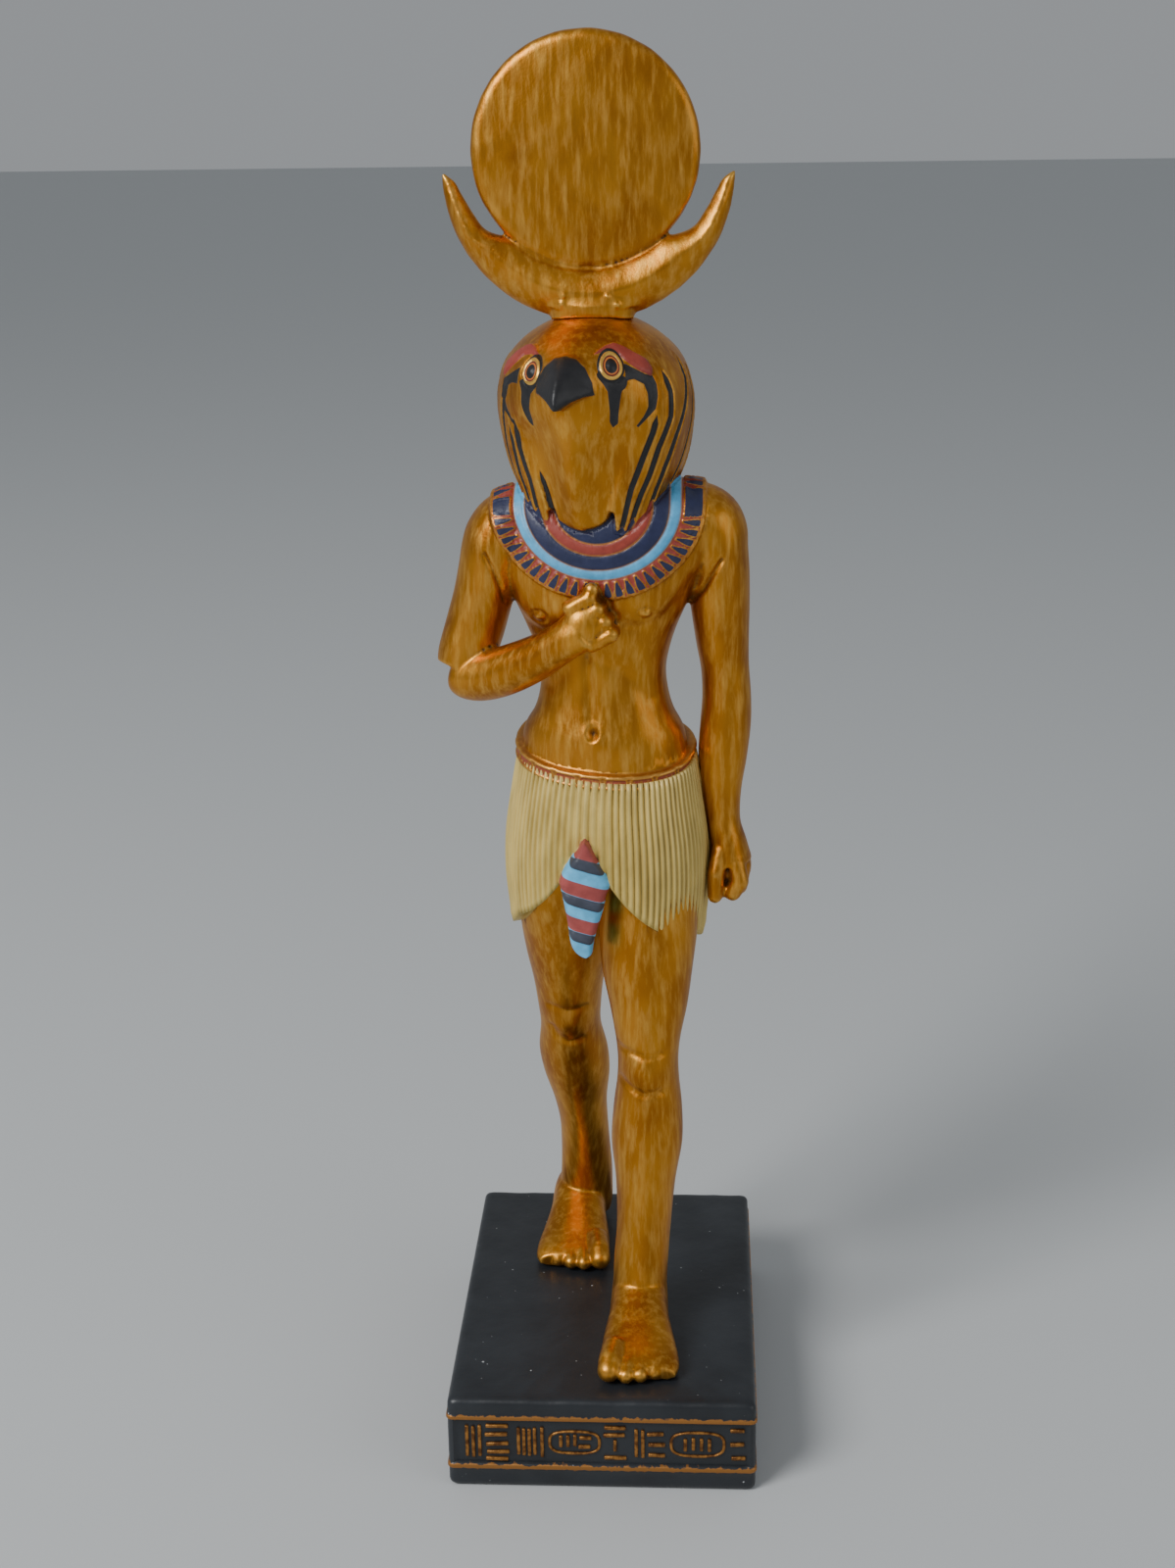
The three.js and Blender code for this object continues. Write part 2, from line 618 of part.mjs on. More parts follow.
// The base has eased edges, two raised lines all round and a sunk band between them in front
function base() {
  const wide = BASE_WIDTH / 2 - LINE_PROUD;
  const long = BASE_LENGTH / 2 - LINE_PROUD;
  const x = wide - BASE_EDGE;
  const y = long - BASE_EDGE;
  const corners = [[-x, -y], [x, -y], [x, y], [-x, y]];
  const outline = new THREE.Shape(corners.map((c) => new THREE.Vector2(...c)));
  const body = new THREE.ExtrudeGeometry(outline, {
    depth: BASE_HEIGHT - 2 * BASE_EDGE,
    bevelSize: BASE_EDGE,
    bevelThickness: BASE_EDGE,
    bevelSegments: 3,
  });
  body.translate(0, 0, BASE_EDGE);
  let solid = solidOf(body);
  for (const z of [BAND_LOW, BAND_HIGH]) {
    const low = [-BASE_WIDTH / 2, -BASE_LENGTH / 2, z - LINE_WIDTH / 2];
    const high = [BASE_WIDTH / 2, BASE_LENGTH / 2, z + LINE_WIDTH / 2];
    solid = solid.add(block(low, high));
  }
  const bandLow = [BAND_INSET - wide, -BASE_LENGTH, BAND_LOW + LINE_WIDTH / 2];
  const bandHigh = [wide - BAND_INSET, BAND_DEPTH - long, BAND_HIGH - LINE_WIDTH / 2];
  return solid.subtract(block(bandLow, bandHigh));
}

const statuette = new THREE.Group();
statuette.add(piece("base", base(), 0x23262a, 0.45, 0));
statuette.add(piece("figure", figure, 0xb07a28, 0.4, 0.9));
statuette.add(piece("headdress", headdress(), 0xb98530, 0.4, 0.9));

export default statuette;
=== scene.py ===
# %% [markdown]
# # A falcon-headed moon god, cast in resin and painted
# The real piece is a shelf statuette about 30 cm tall. Stone-filled resin is poured into a rubber mould, and the
# cast is painted by hand: antique gold on the body, matt enamel colours on the collar, kilt and belt, satin black
# on the base. The CAD frame holds its true sizes as three plain solids. This lesson rebuilds each of them with
# the carving that the frame leaves out, and keeps inside the frame's box.

import math

import bmesh
import bpy
import numpy as np
from mathutils import Euler, Matrix, Vector
from mathutils.bvhtree import BVHTree


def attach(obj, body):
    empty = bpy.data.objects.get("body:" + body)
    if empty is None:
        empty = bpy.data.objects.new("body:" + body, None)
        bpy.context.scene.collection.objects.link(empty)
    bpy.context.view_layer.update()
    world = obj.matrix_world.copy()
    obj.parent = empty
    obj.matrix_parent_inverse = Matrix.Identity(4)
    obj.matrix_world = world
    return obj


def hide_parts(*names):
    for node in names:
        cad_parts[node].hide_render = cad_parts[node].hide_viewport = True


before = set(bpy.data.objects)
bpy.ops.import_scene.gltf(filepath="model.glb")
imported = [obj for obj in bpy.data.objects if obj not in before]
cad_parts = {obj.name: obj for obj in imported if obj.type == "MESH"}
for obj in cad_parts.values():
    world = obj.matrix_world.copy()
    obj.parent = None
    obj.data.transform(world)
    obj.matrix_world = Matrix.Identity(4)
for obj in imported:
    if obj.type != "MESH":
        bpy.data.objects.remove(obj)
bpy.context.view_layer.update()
MM = 0.001

# %% [markdown]
# ## Tables of sections
# A sculptor blocks out a figure from a few measured sections. Here each form is a short table of sections, too,
# in millimetres. Drawing straight lines from row to row would leave rings in the gold, so a cubic runs smoothly
# through the rows instead.

# %% A smooth curve through the rows of a table
def flow(knots, values, at):
    knots = np.asarray(knots, float)
    values = np.asarray(values, float)
    slopes = np.gradient(values, knots, axis=0)
    i = np.clip(np.searchsorted(knots, at) - 1, 0, len(knots) - 2)
    gap = knots[i + 1] - knots[i]
    s = np.clip((at - knots[i]) / gap, 0, 1)
    if values.ndim > 1:
        gap, s = gap[:, None], s[:, None]
    start = values[i] * (1 + 2 * s) + gap * slopes[i] * s
    end = values[i + 1] * (3 - 2 * s) - gap * slopes[i + 1] * (1 - s)
    return start * (1 - s) ** 2 + end * s**2


def ease(low, high, at):
    s = np.clip((at - low) / (high - low), 0, 1)
    return s * s * (3 - 2 * s)


print("halfway between 0, 1 and 4:", flow([0, 1, 2], [0, 1, 4], np.array([1.5])))

# %% [markdown]
# ## A grid rolled into a tube
# Trunk, legs, arms and head are all rounded forms along a line. One grid operator gives the faces, its long
# sides are rolled together and merged, and the open ends are filled. The shape only has to say where a point
# goes that is so far around and so far along.

# %% Roll a grid
def tube(shape, around, along):
    form = bmesh.new()
    bmesh.ops.create_grid(form, x_segments=around, y_segments=along, size=0.5)
    share = np.array([v.co[:2] for v in form.verts]) + 0.5
    places = shape(2 * np.pi * share[:, 0], share[:, 1]) * MM
    for vertex, place in zip(form.verts, places):
        vertex.co = place
    bmesh.ops.remove_doubles(form, verts=form.verts, dist=1e-6)
    rim = [edge for edge in form.edges if edge.is_boundary]
    if rim:
        bmesh.ops.holes_fill(form, edges=rim)
    bmesh.ops.recalc_face_normals(form, faces=form.faces)
    return form


def section(angle, side, front, back, power):
    c, s = np.cos(angle), np.sin(angle)
    across = np.sign(c) * np.abs(c) ** (2 / power) * side
    deep = np.sign(s) * np.abs(s) ** (2 / power) * np.where(s < 0, front, back)
    return across, deep


def rows_of(table, share):
    table = np.array(table, float)
    return flow(np.linspace(0, 1, len(table)), table, share).T


def level_form(table, around=72, along=90):
    def shape(angle, share):
        z, x, y, side, front, back, turn, power = rows_of(table, share)
        across, deep = section(angle, side, front, back, power)
        return np.stack(
            [x + across * np.cos(turn) - deep * np.sin(turn), y + across * np.sin(turn) + deep * np.cos(turn), z], 1
        )

    return tube(shape, around, along)


def limb_form(table, around=48, along=90):
    rows = rows_of(table, np.linspace(0, 1, along + 1)).T
    ahead = np.gradient(rows[:, :3], axis=0)
    ahead /= np.linalg.norm(ahead, axis=1)[:, None]
    deep, side = [], []
    carried = np.array([0.0, 1.0, 0.0])
    for direction in ahead:
        carried = carried - direction * carried.dot(direction)
        carried /= np.linalg.norm(carried)
        deep.append(carried)
        side.append(np.cross(direction, carried))
    deep, side = np.array(deep), np.array(side)

    def shape(angle, share):
        i = np.rint(share * along).astype(int)
        out_deep = deep[i] * (np.cos(angle) * rows[i, 4])[:, None]
        out_side = side[i] * (np.sin(angle) * rows[i, 3])[:, None]
        return rows[i, :3] + out_deep + out_side

    return tube(shape, around, along)


# %% [markdown]
# ## The trunk and the legs
# Level sections suit what stands upright. Each row is height, middle x and y, half width, depth in front,
# depth behind, turn in radians, and how square the section is. The figure strides with its left foot forward.

# %% Upright forms
TRUNK = [
    (128, 0.3, 8, 19.3, 15, 15, -0.2, 2.2),
    (147, 0.1, 8, 18.2, 12.6, 13, -0.2, 2.2),
    (154, 0, 8, 17.2, 12.1, 12.4, -0.18, 2.2),
    (158.6, 0.1, 8, 14.8, 11.6, 11, -0.16, 2.2),
    (163, 0.1, 8, 13.6, 10.9, 10, -0.14, 2.2),
    (167.5, 0, 8, 13.3, 10.8, 10, -0.12, 2.2),
    (172, 0, 8, 14.1, 11.3, 10.8, -0.11, 2.2),
    (177, -0.2, 8, 15.9, 12.3, 12, -0.1, 2.2),
    (183, -0.2, 8, 18.6, 13.4, 13, -0.1, 2.2),
    (189, 0, 8, 21.5, 13.6, 13.2, -0.1, 2.2),
    (195, 0.3, 8, 23.4, 13.3, 12.8, -0.1, 2.2),
    (200, 0.6, 8, 23.4, 12.5, 12.2, -0.1, 2.2),
    (203.5, 0.8, 8, 21.5, 11.3, 11.4, -0.1, 2.2),
    (207, 0.8, 8, 16, 9.6, 10.4, -0.1, 2.2),
    (211, 0.3, 8, 11, 8, 9, -0.1, 2.2),
]
SOLE = 21.9
FRONT_LEG = [
    (SOLE + 2, 7.4, -12, 6, 5.6, 6.8, 0, 2.1),
    (SOLE + 5, 7.4, -12, 6.3, 6.1, 7.2, 0, 2.1),
    (31, 7.5, -11.6, 6, 6, 6.6, 0, 2),
    (37, 7.8, -10.8, 6, 6, 6, 0, 1.9),
    (45, 8.4, -9.8, 6, 6.2, 6.4, 0, 1.8),
    (55, 8.8, -8.6, 6.6, 6.8, 7.6, 0, 1.8),
    (64, 9.1, -7.6, 7.8, 7.3, 9, 0, 1.85),
    (72, 9.3, -6.6, 7.5, 7.5, 8.8, 0, 1.9),
    (78, 9.4, -6, 6.8, 7.5, 8, 0, 2),
    (83, 9.4, -5.4, 6.6, 7.8, 7.8, 0, 2.1),
    (88, 9.4, -4.6, 7.1, 8.2, 8.2, 0, 2.1),
    (95, 9.5, -3, 8.5, 8.9, 9.4, 0, 2),
    (103, 9.2, -1.2, 9.9, 9.8, 10.8, 0, 2),
    (112, 9.4, 1, 10.8, 10.7, 11.8, 0, 2),
    (124, 9.6, 4, 11.2, 11.6, 12, 0, 2.1),
    (140, 8.8, 7, 9.6, 11, 11, 0, 2.2),
]
BACK_LEG = [
    (SOLE + 2, -7.1, 33.4, 6.2, 6, 6.2, 0, 2.1),
    (SOLE + 5, -7, 33.3, 6.6, 6.4, 6.8, 0, 2.1),
    (31, -6.6, 32.6, 6.3, 6, 6.2, 0, 2),
    (37, -6.4, 31, 6.1, 5.9, 5.8, 0, 1.9),
    (44, -6.5, 29.2, 5.8, 5.9, 6, 0, 1.8),
    (51, -6.7, 27, 5.7, 6, 6.8, 0, 1.8),
    (58, -7.3, 25, 6.2, 6.4, 8, 0, 1.8),
    (66, -7.9, 22.6, 7.6, 7, 8.8, 0, 1.85),
    (73, -8.5, 20.6, 7.9, 7.2, 8.2, 0, 1.9),
    (80, -8.9, 18.8, 6.9, 7.6, 7.4, 0, 2),
    (86, -9, 17.2, 7.2, 8, 7.6, 0, 2.1),
    (93, -9, 15.6, 8, 8.6, 8.8, 0, 2),
    (101, -8.9, 14, 9.5, 9.6, 10, 0, 2),
    (110, -9.1, 12.4, 10.3, 10.6, 10.6, 0, 2),
    (124, -9.1, 10, 11, 11.6, 11.4, 0, 2.1),
    (140, -8.3, 8, 9.6, 11, 11, 0, 2.2),
]
trunk = level_form(TRUNK, around=96, along=140)
upright = [trunk, level_form(FRONT_LEG), level_form(BACK_LEG)]
print("trunk and legs:", sum(len(form.faces) for form in upright), "faces")

# %% [markdown]
# ## The arms
# An arm bends, so its sections stand square to a path. Each row is a place on the path, half width and half
# depth. The right arm folds up to the breast and the left one hangs.

# %% Bent forms
BENT_ARM = [
    (-10, 8, 199.8, 5.4, 6),
    (-15.2, 8, 199.6, 6.6, 7.4),
    (-19, 8, 197.9, 7.3, 8.2),
    (-21.2, 8, 195.6, 7.3, 8.2),
    (-22.4, 8, 193, 7, 8.2),
    (-23.6, 8, 188.5, 6.6, 7.6),
    (-25.2, 8, 182.5, 6.3, 7),
    (-27.1, 7.8, 176, 6.3, 6.6),
    (-28.9, 7.4, 170.6, 6.1, 6.3),
    (-29.8, 6.9, 167.6, 5.6, 5.9),
]
FOREARM = [
    (-30.6, 7.2, 166.4, 3.6, 4.2),
    (-29.4, 6.5, 166.2, 5, 5.3),
    (-26.4, 4.8, 166.3, 5.4, 5.6),
    (-22.5, 2.4, 167.4, 5.3, 5.5),
    (-18, -0.4, 169.6, 5.1, 5.2),
    (-13, -3.4, 172.6, 4.7, 4.6),
    (-8.8, -6, 175.6, 4.2, 3.9),
    (-6, -7.6, 177.8, 4.2, 3.5),
    (-3.6, -8.4, 179.8, 4.6, 3.2),
]
HANGING_ARM = [
    (11, 8, 200.2, 5.4, 6),
    (16.8, 8, 200.3, 6.8, 7.4),
    (21, 8, 198.9, 7.4, 8.2),
    (22.7, 8, 196.6, 7.4, 8.2),
    (23.3, 8, 193, 7.1, 8.2),
    (24.2, 8, 188, 6.5, 7.6),
    (24.6, 8, 181, 6.2, 7),
    (25.1, 8, 173.6, 5.6, 6.4),
    (25.7, 8.2, 167.4, 5.1, 5.8),
    (26.1, 8.2, 161, 5.2, 5.8),
    (25.9, 7.8, 155, 5.4, 5.8),
    (25.3, 7, 148, 5.2, 5.4),
    (25, 6.2, 141, 4.4, 4.6),
    (25.5, 5.6, 134, 3.7, 4.3),
    (26.6, 5.2, 129, 4, 5),
    (27.2, 5.2, 125, 4.6, 5.6),
]
arms = [limb_form(table) for table in (BENT_ARM, FOREARM, HANGING_ARM)]
print("arms:", sum(len(form.faces) for form in arms), "faces")

# %% [markdown]
# ## Fingers and toes
# A finger is a chain of balls under one skin. Two balls wrapped in a convex hull give each stretch of it, and
# the stretches overlap at the joints. The same chain makes the toes.

# %% Chains of balls
def chain(*balls):
    stretches = []
    for near, far in zip(balls, balls[1:]):
        form = bmesh.new()
        for x, y, z, radius in (near, far):
            spot = Matrix.Translation(Vector((x, y, z)) * MM)
            bmesh.ops.create_icosphere(form, subdivisions=3, radius=radius * MM, matrix=spot)
        hull = bmesh.ops.convex_hull(form, input=form.verts)
        inside = {item for item in hull["geom_interior"] + hull["geom_unused"] if isinstance(item, bmesh.types.BMVert)}
        bmesh.ops.delete(form, geom=list(inside), context="VERTS")
        stretches.append(form)
    return stretches


def lump(at, sizes, lean=(0, 0, 0)):
    form = bmesh.new()
    spot = Matrix.LocRotScale(Vector(at) * MM, Euler(lean), Vector(sizes) * MM)
    bmesh.ops.create_icosphere(form, subdivisions=4, radius=1, matrix=spot)
    return form


# %% [markdown]
# ## The fists
# The right fist lies on the breast with the back of the hand outward: four finger segments step down from
# upper left to lower right, and the thumb's end stands above them. The left fist hangs with the thumb in front
# and the first finger curled round a small hollow.

# %% Fists
KNUCKLES = Vector((-1.5, -9.1, 181.6))
DOWN_THE_ROW = Vector((0.5, -0.06, -0.86)).normalized()
ALONG_A_FINGER = Vector((0.86, -0.1, 0.5)).normalized()
fists = [lump((-3, -8.2, 180.4), (4.4, 3.2, 5), (0, 0.5, 0))]
for place in (-1.5, -0.5, 0.5, 1.5):
    middle = KNUCKLES + DOWN_THE_ROW * place * 2.9
    bend = middle + ALONG_A_FINGER * (2.3 - 0.25 * abs(place))
    root = middle - ALONG_A_FINGER * 2.6
    tip = bend + Vector((0.5, 3, 0))
    fists += chain((*root, 1.55), (*bend, 1.6), (*tip, 1.5))
fists += chain((-2.6, -7.4, 185.4, 1.6), (-1.5, -8.6, 188, 1.55))
fists.append(lump((27.3, 5.6, 123.6), (4.4, 4.6, 5.4)))
fists += chain((28.4, 1.4, 125.4, 1.9), (29.2, 0.6, 121.6, 1.9), (27.6, 0.8, 118.9, 1.8), (25.6, 2.6, 119.4, 1.6))
fists += chain((29.6, 4.2, 124, 2), (28.9, 4, 119.4, 2), (26.6, 4.4, 118.2, 1.8))
fists += chain((29.4, 7.4, 124, 2), (28.6, 7.2, 119.4, 2), (26.4, 7, 118.4, 1.8))
fists += chain((28.4, 9.8, 124, 1.8), (27.8, 9.6, 120, 1.8), (26.2, 9.2, 119, 1.7))
fists += chain((25, 2.2, 128, 2), (24, 0.6, 123.4, 1.9), (23.8, 0.6, 118.2, 1.6))
print("fists:", len(fists), "forms")

# %% [markdown]
# ## The feet
# A foot is a wedge from the heel to the ball, and five short toes end it. Sections across its length make the
# wedge, each row being distance from the heel, sideways shift, half width and height.

# %% Feet
FOOT = [
    (0.4, 0, 1.5, 4),
    (1, 0, 3.6, 7.6),
    (3, 0, 5.2, 10.6),
    (8, 0, 6.2, 12.4),
    (15, 0, 6.6, 10),
    (21, 0.1, 7.6, 7.4),
    (27, 0.4, 8.4, 5.6),
    (31, 0.6, 8.4, 4.6),
    (33.4, 0.6, 7.6, 3.4),
]
TOES = [(6, 34.6, 2.45), (2.3, 35, 1.75), (-0.8, 34.5, 1.65), (-3.8, 33.3, 1.6), (-6.5, 31.3, 1.55)]


def foot(heel_x, heel_y, inner):
    def shape(angle, share):
        out, shift, half, top = rows_of(FOOT, share)
        across, rise = section(angle, half, top * 0.3, top * 0.7, 2.5)
        return np.stack([heel_x - inner * shift + across, heel_y - out, SOLE + top * 0.3 + rise], 1)

    forms = [tube(shape, 56, 60)]
    for x, out, r in TOES:
        root = (heel_x + inner * x * 0.86, heel_y - out + 7, SOLE + r * 1.75, r)
        joint = (heel_x + inner * x * 0.97, heel_y - out + 3.2, SOLE + r * 1.55, r)
        tip = (heel_x + inner * x, heel_y - out + r * 0.4, SOLE + r, r)
        forms += chain(root, joint, tip)
    return forms


feet = foot(7.4, -3.6, -1) + foot(-8.4, 41.6, 1)
print("feet:", len(feet), "forms")

# %% [markdown]
# ## The head's own frame
# The bird looks a little to its right. Everything on the head is measured in a frame turned with it: sideways,
# forward and up, or as degrees round from the beak. Painting and carving then stay symmetric and readable.

# %% Turn into and out of the head's frame
HEAD_TURN = math.radians(-14)
HEAD_Y = 8
COS_TURN, SIN_TURN = math.cos(HEAD_TURN), math.sin(HEAD_TURN)


def head_x(z):
    return -0.8 - 0.02 * (z - 222)


def from_head(side, ahead, z):
    return np.stack(
        [head_x(z) + side * COS_TURN + ahead * SIN_TURN, HEAD_Y + side * SIN_TURN - ahead * COS_TURN, z], 1
    )


def to_head(points):
    x, y, z = points.T
    dx, dy = x - head_x(z), y - HEAD_Y
    return dx * COS_TURN + dy * SIN_TURN, dx * SIN_TURN - dy * COS_TURN, z


print("the beak's tip lies at", from_head(np.zeros(1), np.array([28.9]), np.array([226.0]))[0].round(1))

# %% [markdown]
# ## The head
# One tube makes the head and its cloth. Between the two front lappets the tube is pushed to the throat, a soft
# keel that narrows downward, and round the bill it is pulled out to a hooked beak with flat facets. Pushing
# one surface keeps it a single cast form, as the real one is.

# %% Cloth, throat and beak
HEAD = [
    (190, 12, 10, 15.6, 2.5),
    (196, 12.8, 12.2, 16.4, 2.5),
    (199.5, 13.6, 14, 17, 2.5),
    (203, 14.7, 14.8, 17.3, 2.5),
    (207, 16, 15.6, 17.8, 2.45),
    (211, 17.7, 16.3, 18.3, 2.4),
    (216, 19, 17.2, 18.7, 2.3),
    (222, 19.8, 19, 19, 2.2),
    (227, 19.5, 20.3, 18.6, 2.1),
    (232, 17.8, 19.9, 17.4, 2.1),
    (236, 14.6, 16.6, 14.6, 2),
    (239, 10.2, 12, 10.8, 2),
    (240.8, 5.4, 6.2, 5.6, 2),
    (241.3, 0, 0, 0, 2),
]
THROAT_HEIGHTS = [199.3, 199.6, 200.4, 201.6, 203.4, 206, 210.4, 215, 219.8, 223]
THROAT_WIDTHS = [0, 2.4, 4.2, 5.4, 6.2, 6.9, 8.6, 11, 13.8, 15.8]
LAPPET_GAP = 6.9
KEEL_HEIGHTS = [199.2, 203, 208, 215, 221, 226, 232, 236, 238]
KEEL_LIFTS = [0.2, 1.2, 2.2, 3, 2.8, 2.4, 2, 0.6, 0]
CULMEN_HEIGHTS = [225, 226.2, 227.5, 229, 231, 233, 234.9]
CULMEN_AHEAD = [28.5, 28.8, 28.6, 27.8, 26.1, 23.7, 20.8]
HALF_BEAK = [(0, 235), (2.2, 234.5), (4.2, 232.8), (5.6, 230.2), (6, 227.7), (4.2, 227.5), (2.4, 226.8), (0, 225)]
LAPPET_END = 199.2


def edge_distance(a, b, outline):
    """How far points lie inside a closed outline, negative outside."""
    near = np.full(len(a), np.inf)
    inside = np.zeros(len(a), bool)
    for (a0, b0), (a1, b1) in zip(outline, outline[1:] + outline[:1]):
        da, db = a1 - a0, b1 - b0
        along = np.clip(((a - a0) * da + (b - b0) * db) / (da * da + db * db), 0, 1)
        near = np.minimum(near, np.hypot(a - a0 - along * da, b - b0 - along * db))
        if db != 0:
            crosses = ((b0 > b) != (b1 > b)) & (a < a0 + (b - b0) * da / db)
            inside ^= crosses
    return np.where(inside, near, -near)


BEAK_OUTLINE = HALF_BEAK + [(-a, b) for a, b in HALF_BEAK[-2:0:-1]]


def head_shape(angle, share):
    z, half, front, back, power = rows_of(HEAD, share)
    side, deep = section(angle, half, front, back, power)
    ahead = -deep
    facing = ahead > 0
    # the throat between the lappets: a narrow keel with a hollow on each side
    width = np.maximum(np.interp(z, THROAT_HEIGHTS, THROAT_WIDTHS), 0.01)
    keel = front + flow(KEEL_HEIGHTS, KEEL_LIFTS, z)
    cloth_edge = front * np.clip(1 - (width / np.maximum(half, 1)) ** power, 0, 1) ** (1 / power)
    hollow = cloth_edge - 1.9
    spread_out = np.maximum(np.sqrt(side**2 + 0.7) - 0.84, 0)
    throat = hollow + (keel - hollow) * np.exp(-((spread_out / (0.62 * width + 0.6)) ** 1.3))
    muzzle = ahead + (keel - front) * np.exp(-((side / 6.5) ** 2))
    face = throat + (muzzle - throat) * ease(216.5, 224, z)
    in_throat = ease(width + 0.3, width - 0.3, np.abs(side)) * (z > LAPPET_END) * facing
    in_face = ease(222.5, 224.5, z) * facing
    ahead = ahead + (face - ahead) * np.maximum(in_throat, in_face)
    # below the throat's round end the lappets part, and the collar shows between them
    parted = ease(LAPPET_GAP + 0.2, LAPPET_GAP - 0.3, np.abs(side)) * (z < 203.4) * (1 - in_throat)
    buried = np.maximum(parted, (z < LAPPET_END).astype(float)) * facing
    ahead = ahead * (1 - 0.3 * buried)
    side = side * (1 - 0.15 * (z < LAPPET_END) * facing)
    # the beak
    depth = edge_distance(side, z, BEAK_OUTLINE)
    soft = np.interp(z, [226, 231, 235], [0.25, 0.8, 2.6])
    ridge = np.interp(z, CULMEN_HEIGHTS, CULMEN_AHEAD)
    beak = ridge - 1.25 * (np.sqrt(side**2 + soft**2) - soft)
    on_beak = (depth > 0) & facing
    ahead = np.where(on_beak, np.maximum(beak, ahead + 0.35), ahead)
    return from_head(side, ahead, z)


head = tube(head_shape, 420, 170)
print("head:", len(head.faces), "faces")

# %% [markdown]
# ## One skin over all the forms
# Clay forms pressed together still show their joints, so a sculptor drags the clay across them. A voxel remesh
# does the same job. It wraps every overlapping form in a single closed skin, and a few smoothing passes round
# the inner corners where two forms meet.

# %% Join the forms and wrap them
def joined(forms):
    whole = bmesh.new()
    for form in forms:
        mesh = bpy.data.meshes.new("form")
        form.to_mesh(mesh)
        whole.from_mesh(mesh)
        bpy.data.meshes.remove(mesh)
    return whole


def place(form, name):
    mesh = bpy.data.meshes.new(name)
    form.to_mesh(mesh)
    piece = bpy.data.objects.new(name, mesh)
    bpy.context.scene.collection.objects.link(piece)
    return piece


def modify(piece, kind, **settings):
    modifier = piece.modifiers.new(kind.title(), kind)
    for key, value in settings.items():
        setattr(modifier, key, value)
    return modifier


def settle(piece):
    """Put the result of the modifiers into the mesh itself."""
    bpy.context.view_layer.update()
    result = piece.evaluated_get(bpy.context.evaluated_depsgraph_get())
    mesh = bpy.data.meshes.new_from_object(result)
    piece.modifiers.clear()
    piece.data = mesh
    return mesh


VOXEL = 0.42
body = joined(upright + arms + fists + feet)
limbs_and_trunk = BVHTree.FromBMesh(body)
head_surface = BVHTree.FromBMesh(head)
hand_surface = BVHTree.FromBMesh(joined(fists + arms[1:2]))
figure = place(joined([body, head]), "figure")
modify(figure, "REMESH", mode="VOXEL", voxel_size=VOXEL * MM, adaptivity=0)
modify(figure, "SMOOTH", factor=0.5, iterations=3)
settle(figure)
print("skin:", len(figure.data.vertices), "vertices")

# %% [markdown]
# ## Carving on the skin
# The finer carving follows the skin: grooves, swellings and cut stripes all move it a little along its own
# normal. numpy does that for half a million points at once. The helpers below measure how far each point lies
# from a drawn line or inside a drawn shape.

# %% Read points, and measure distances to drawn lines
def read(values, kind="co"):
    flat = np.empty(len(values) * 3, np.float32)
    values.foreach_get(kind, flat)
    return flat.reshape(-1, 3).astype(float)


def stroke_inside(a, b, path, widths):
    """How far points lie inside a drawn stroke of changing half width, negative outside."""
    best = np.full(len(a), -np.inf)
    for (a0, b0), (a1, b1), w0, w1 in zip(path, path[1:], widths, widths[1:]):
        da, db = a1 - a0, b1 - b0
        along = np.clip(((a - a0) * da + (b - b0) * db) / (da * da + db * db), 0, 1)
        inside = w0 + (w1 - w0) * along - np.hypot(a - a0 - along * da, b - b0 - along * db)
        best = np.maximum(best, inside)
    return best


def trench(x, z, path, width):
    """1 along a line drawn in the front view, fading to 0 a width away from it."""
    return np.exp(-((stroke_inside(x, z, path, [0] * len(path)) / width) ** 2))


def bulge(x, z, middle, sizes):
    return np.exp(-(((x - middle[0]) / sizes[0]) ** 2) - ((z - middle[1]) / sizes[1]) ** 2)


points = read(figure.data.vertices) / MM
normals = read(figure.data.vertices, "normal")
print("a stroke's middle is", stroke_inside(np.zeros(1), np.zeros(1), [(-1, 0), (1, 0)], [0.5, 0.5]), "mm inside")

# %% [markdown]
# ## Muscles, navel and knees
# The carver worked from the front, so these marks are drawn in the front view as x and z and only touch the
# points that face that way. The spine and shoulder blades are drawn for the back.

# %% Carve the body
FRONT_TRENCHES = [
    ([(-1.6, 185), (-2.4, 181), (-3.1, 175), (-3.1, 170.3), (-2.7, 166), (-2.4, 161), (-2, 157.6)], 1.2, 0.6),
    ([(0.6, 181), (3.5, 179.2), (8, 178.8), (12.5, 180.6), (16.5, 184.5), (19, 188)], 1.5, 0.55),
    ([(-7, 177.4), (-12, 176.8), (-16.5, 179), (-19.5, 183.5)], 1.5, 0.5),
    ([(-3, 172.5), (2, 170.5), (6.5, 167), (9.8, 162.5)], 1.7, 0.35),
    ([(-3, 172.5), (-7, 169.5), (-11, 165)], 1.7, 0.3),
    ([(4.6, 169), (5, 163), (4.4, 157)], 1.8, 0.3),
    ([(24.9, 192), (22.6, 188.4), (20.8, 185.4), (18.6, 182.6), (17.6, 180)], 0.55, 0.8),
    ([(-24, 193.5), (-22.4, 190.4), (-21, 186.5), (-20, 182.6)], 0.55, 0.7),
    ([(2, 87.4), (5.5, 86.9), (9.4, 86), (12.6, 86.8)], 0.8, 0.45),
    ([(3.6, 79.8), (5.6, 78.6), (8.4, 77.4), (12.4, 78)], 0.9, 0.5),
    ([(-12.8, 82), (-11.4, 79.2), (-9, 78), (-6, 78.6)], 0.9, 0.45),
    ([(-13, 88), (-9, 86.8), (-5, 87.6)], 0.9, 0.35),
]
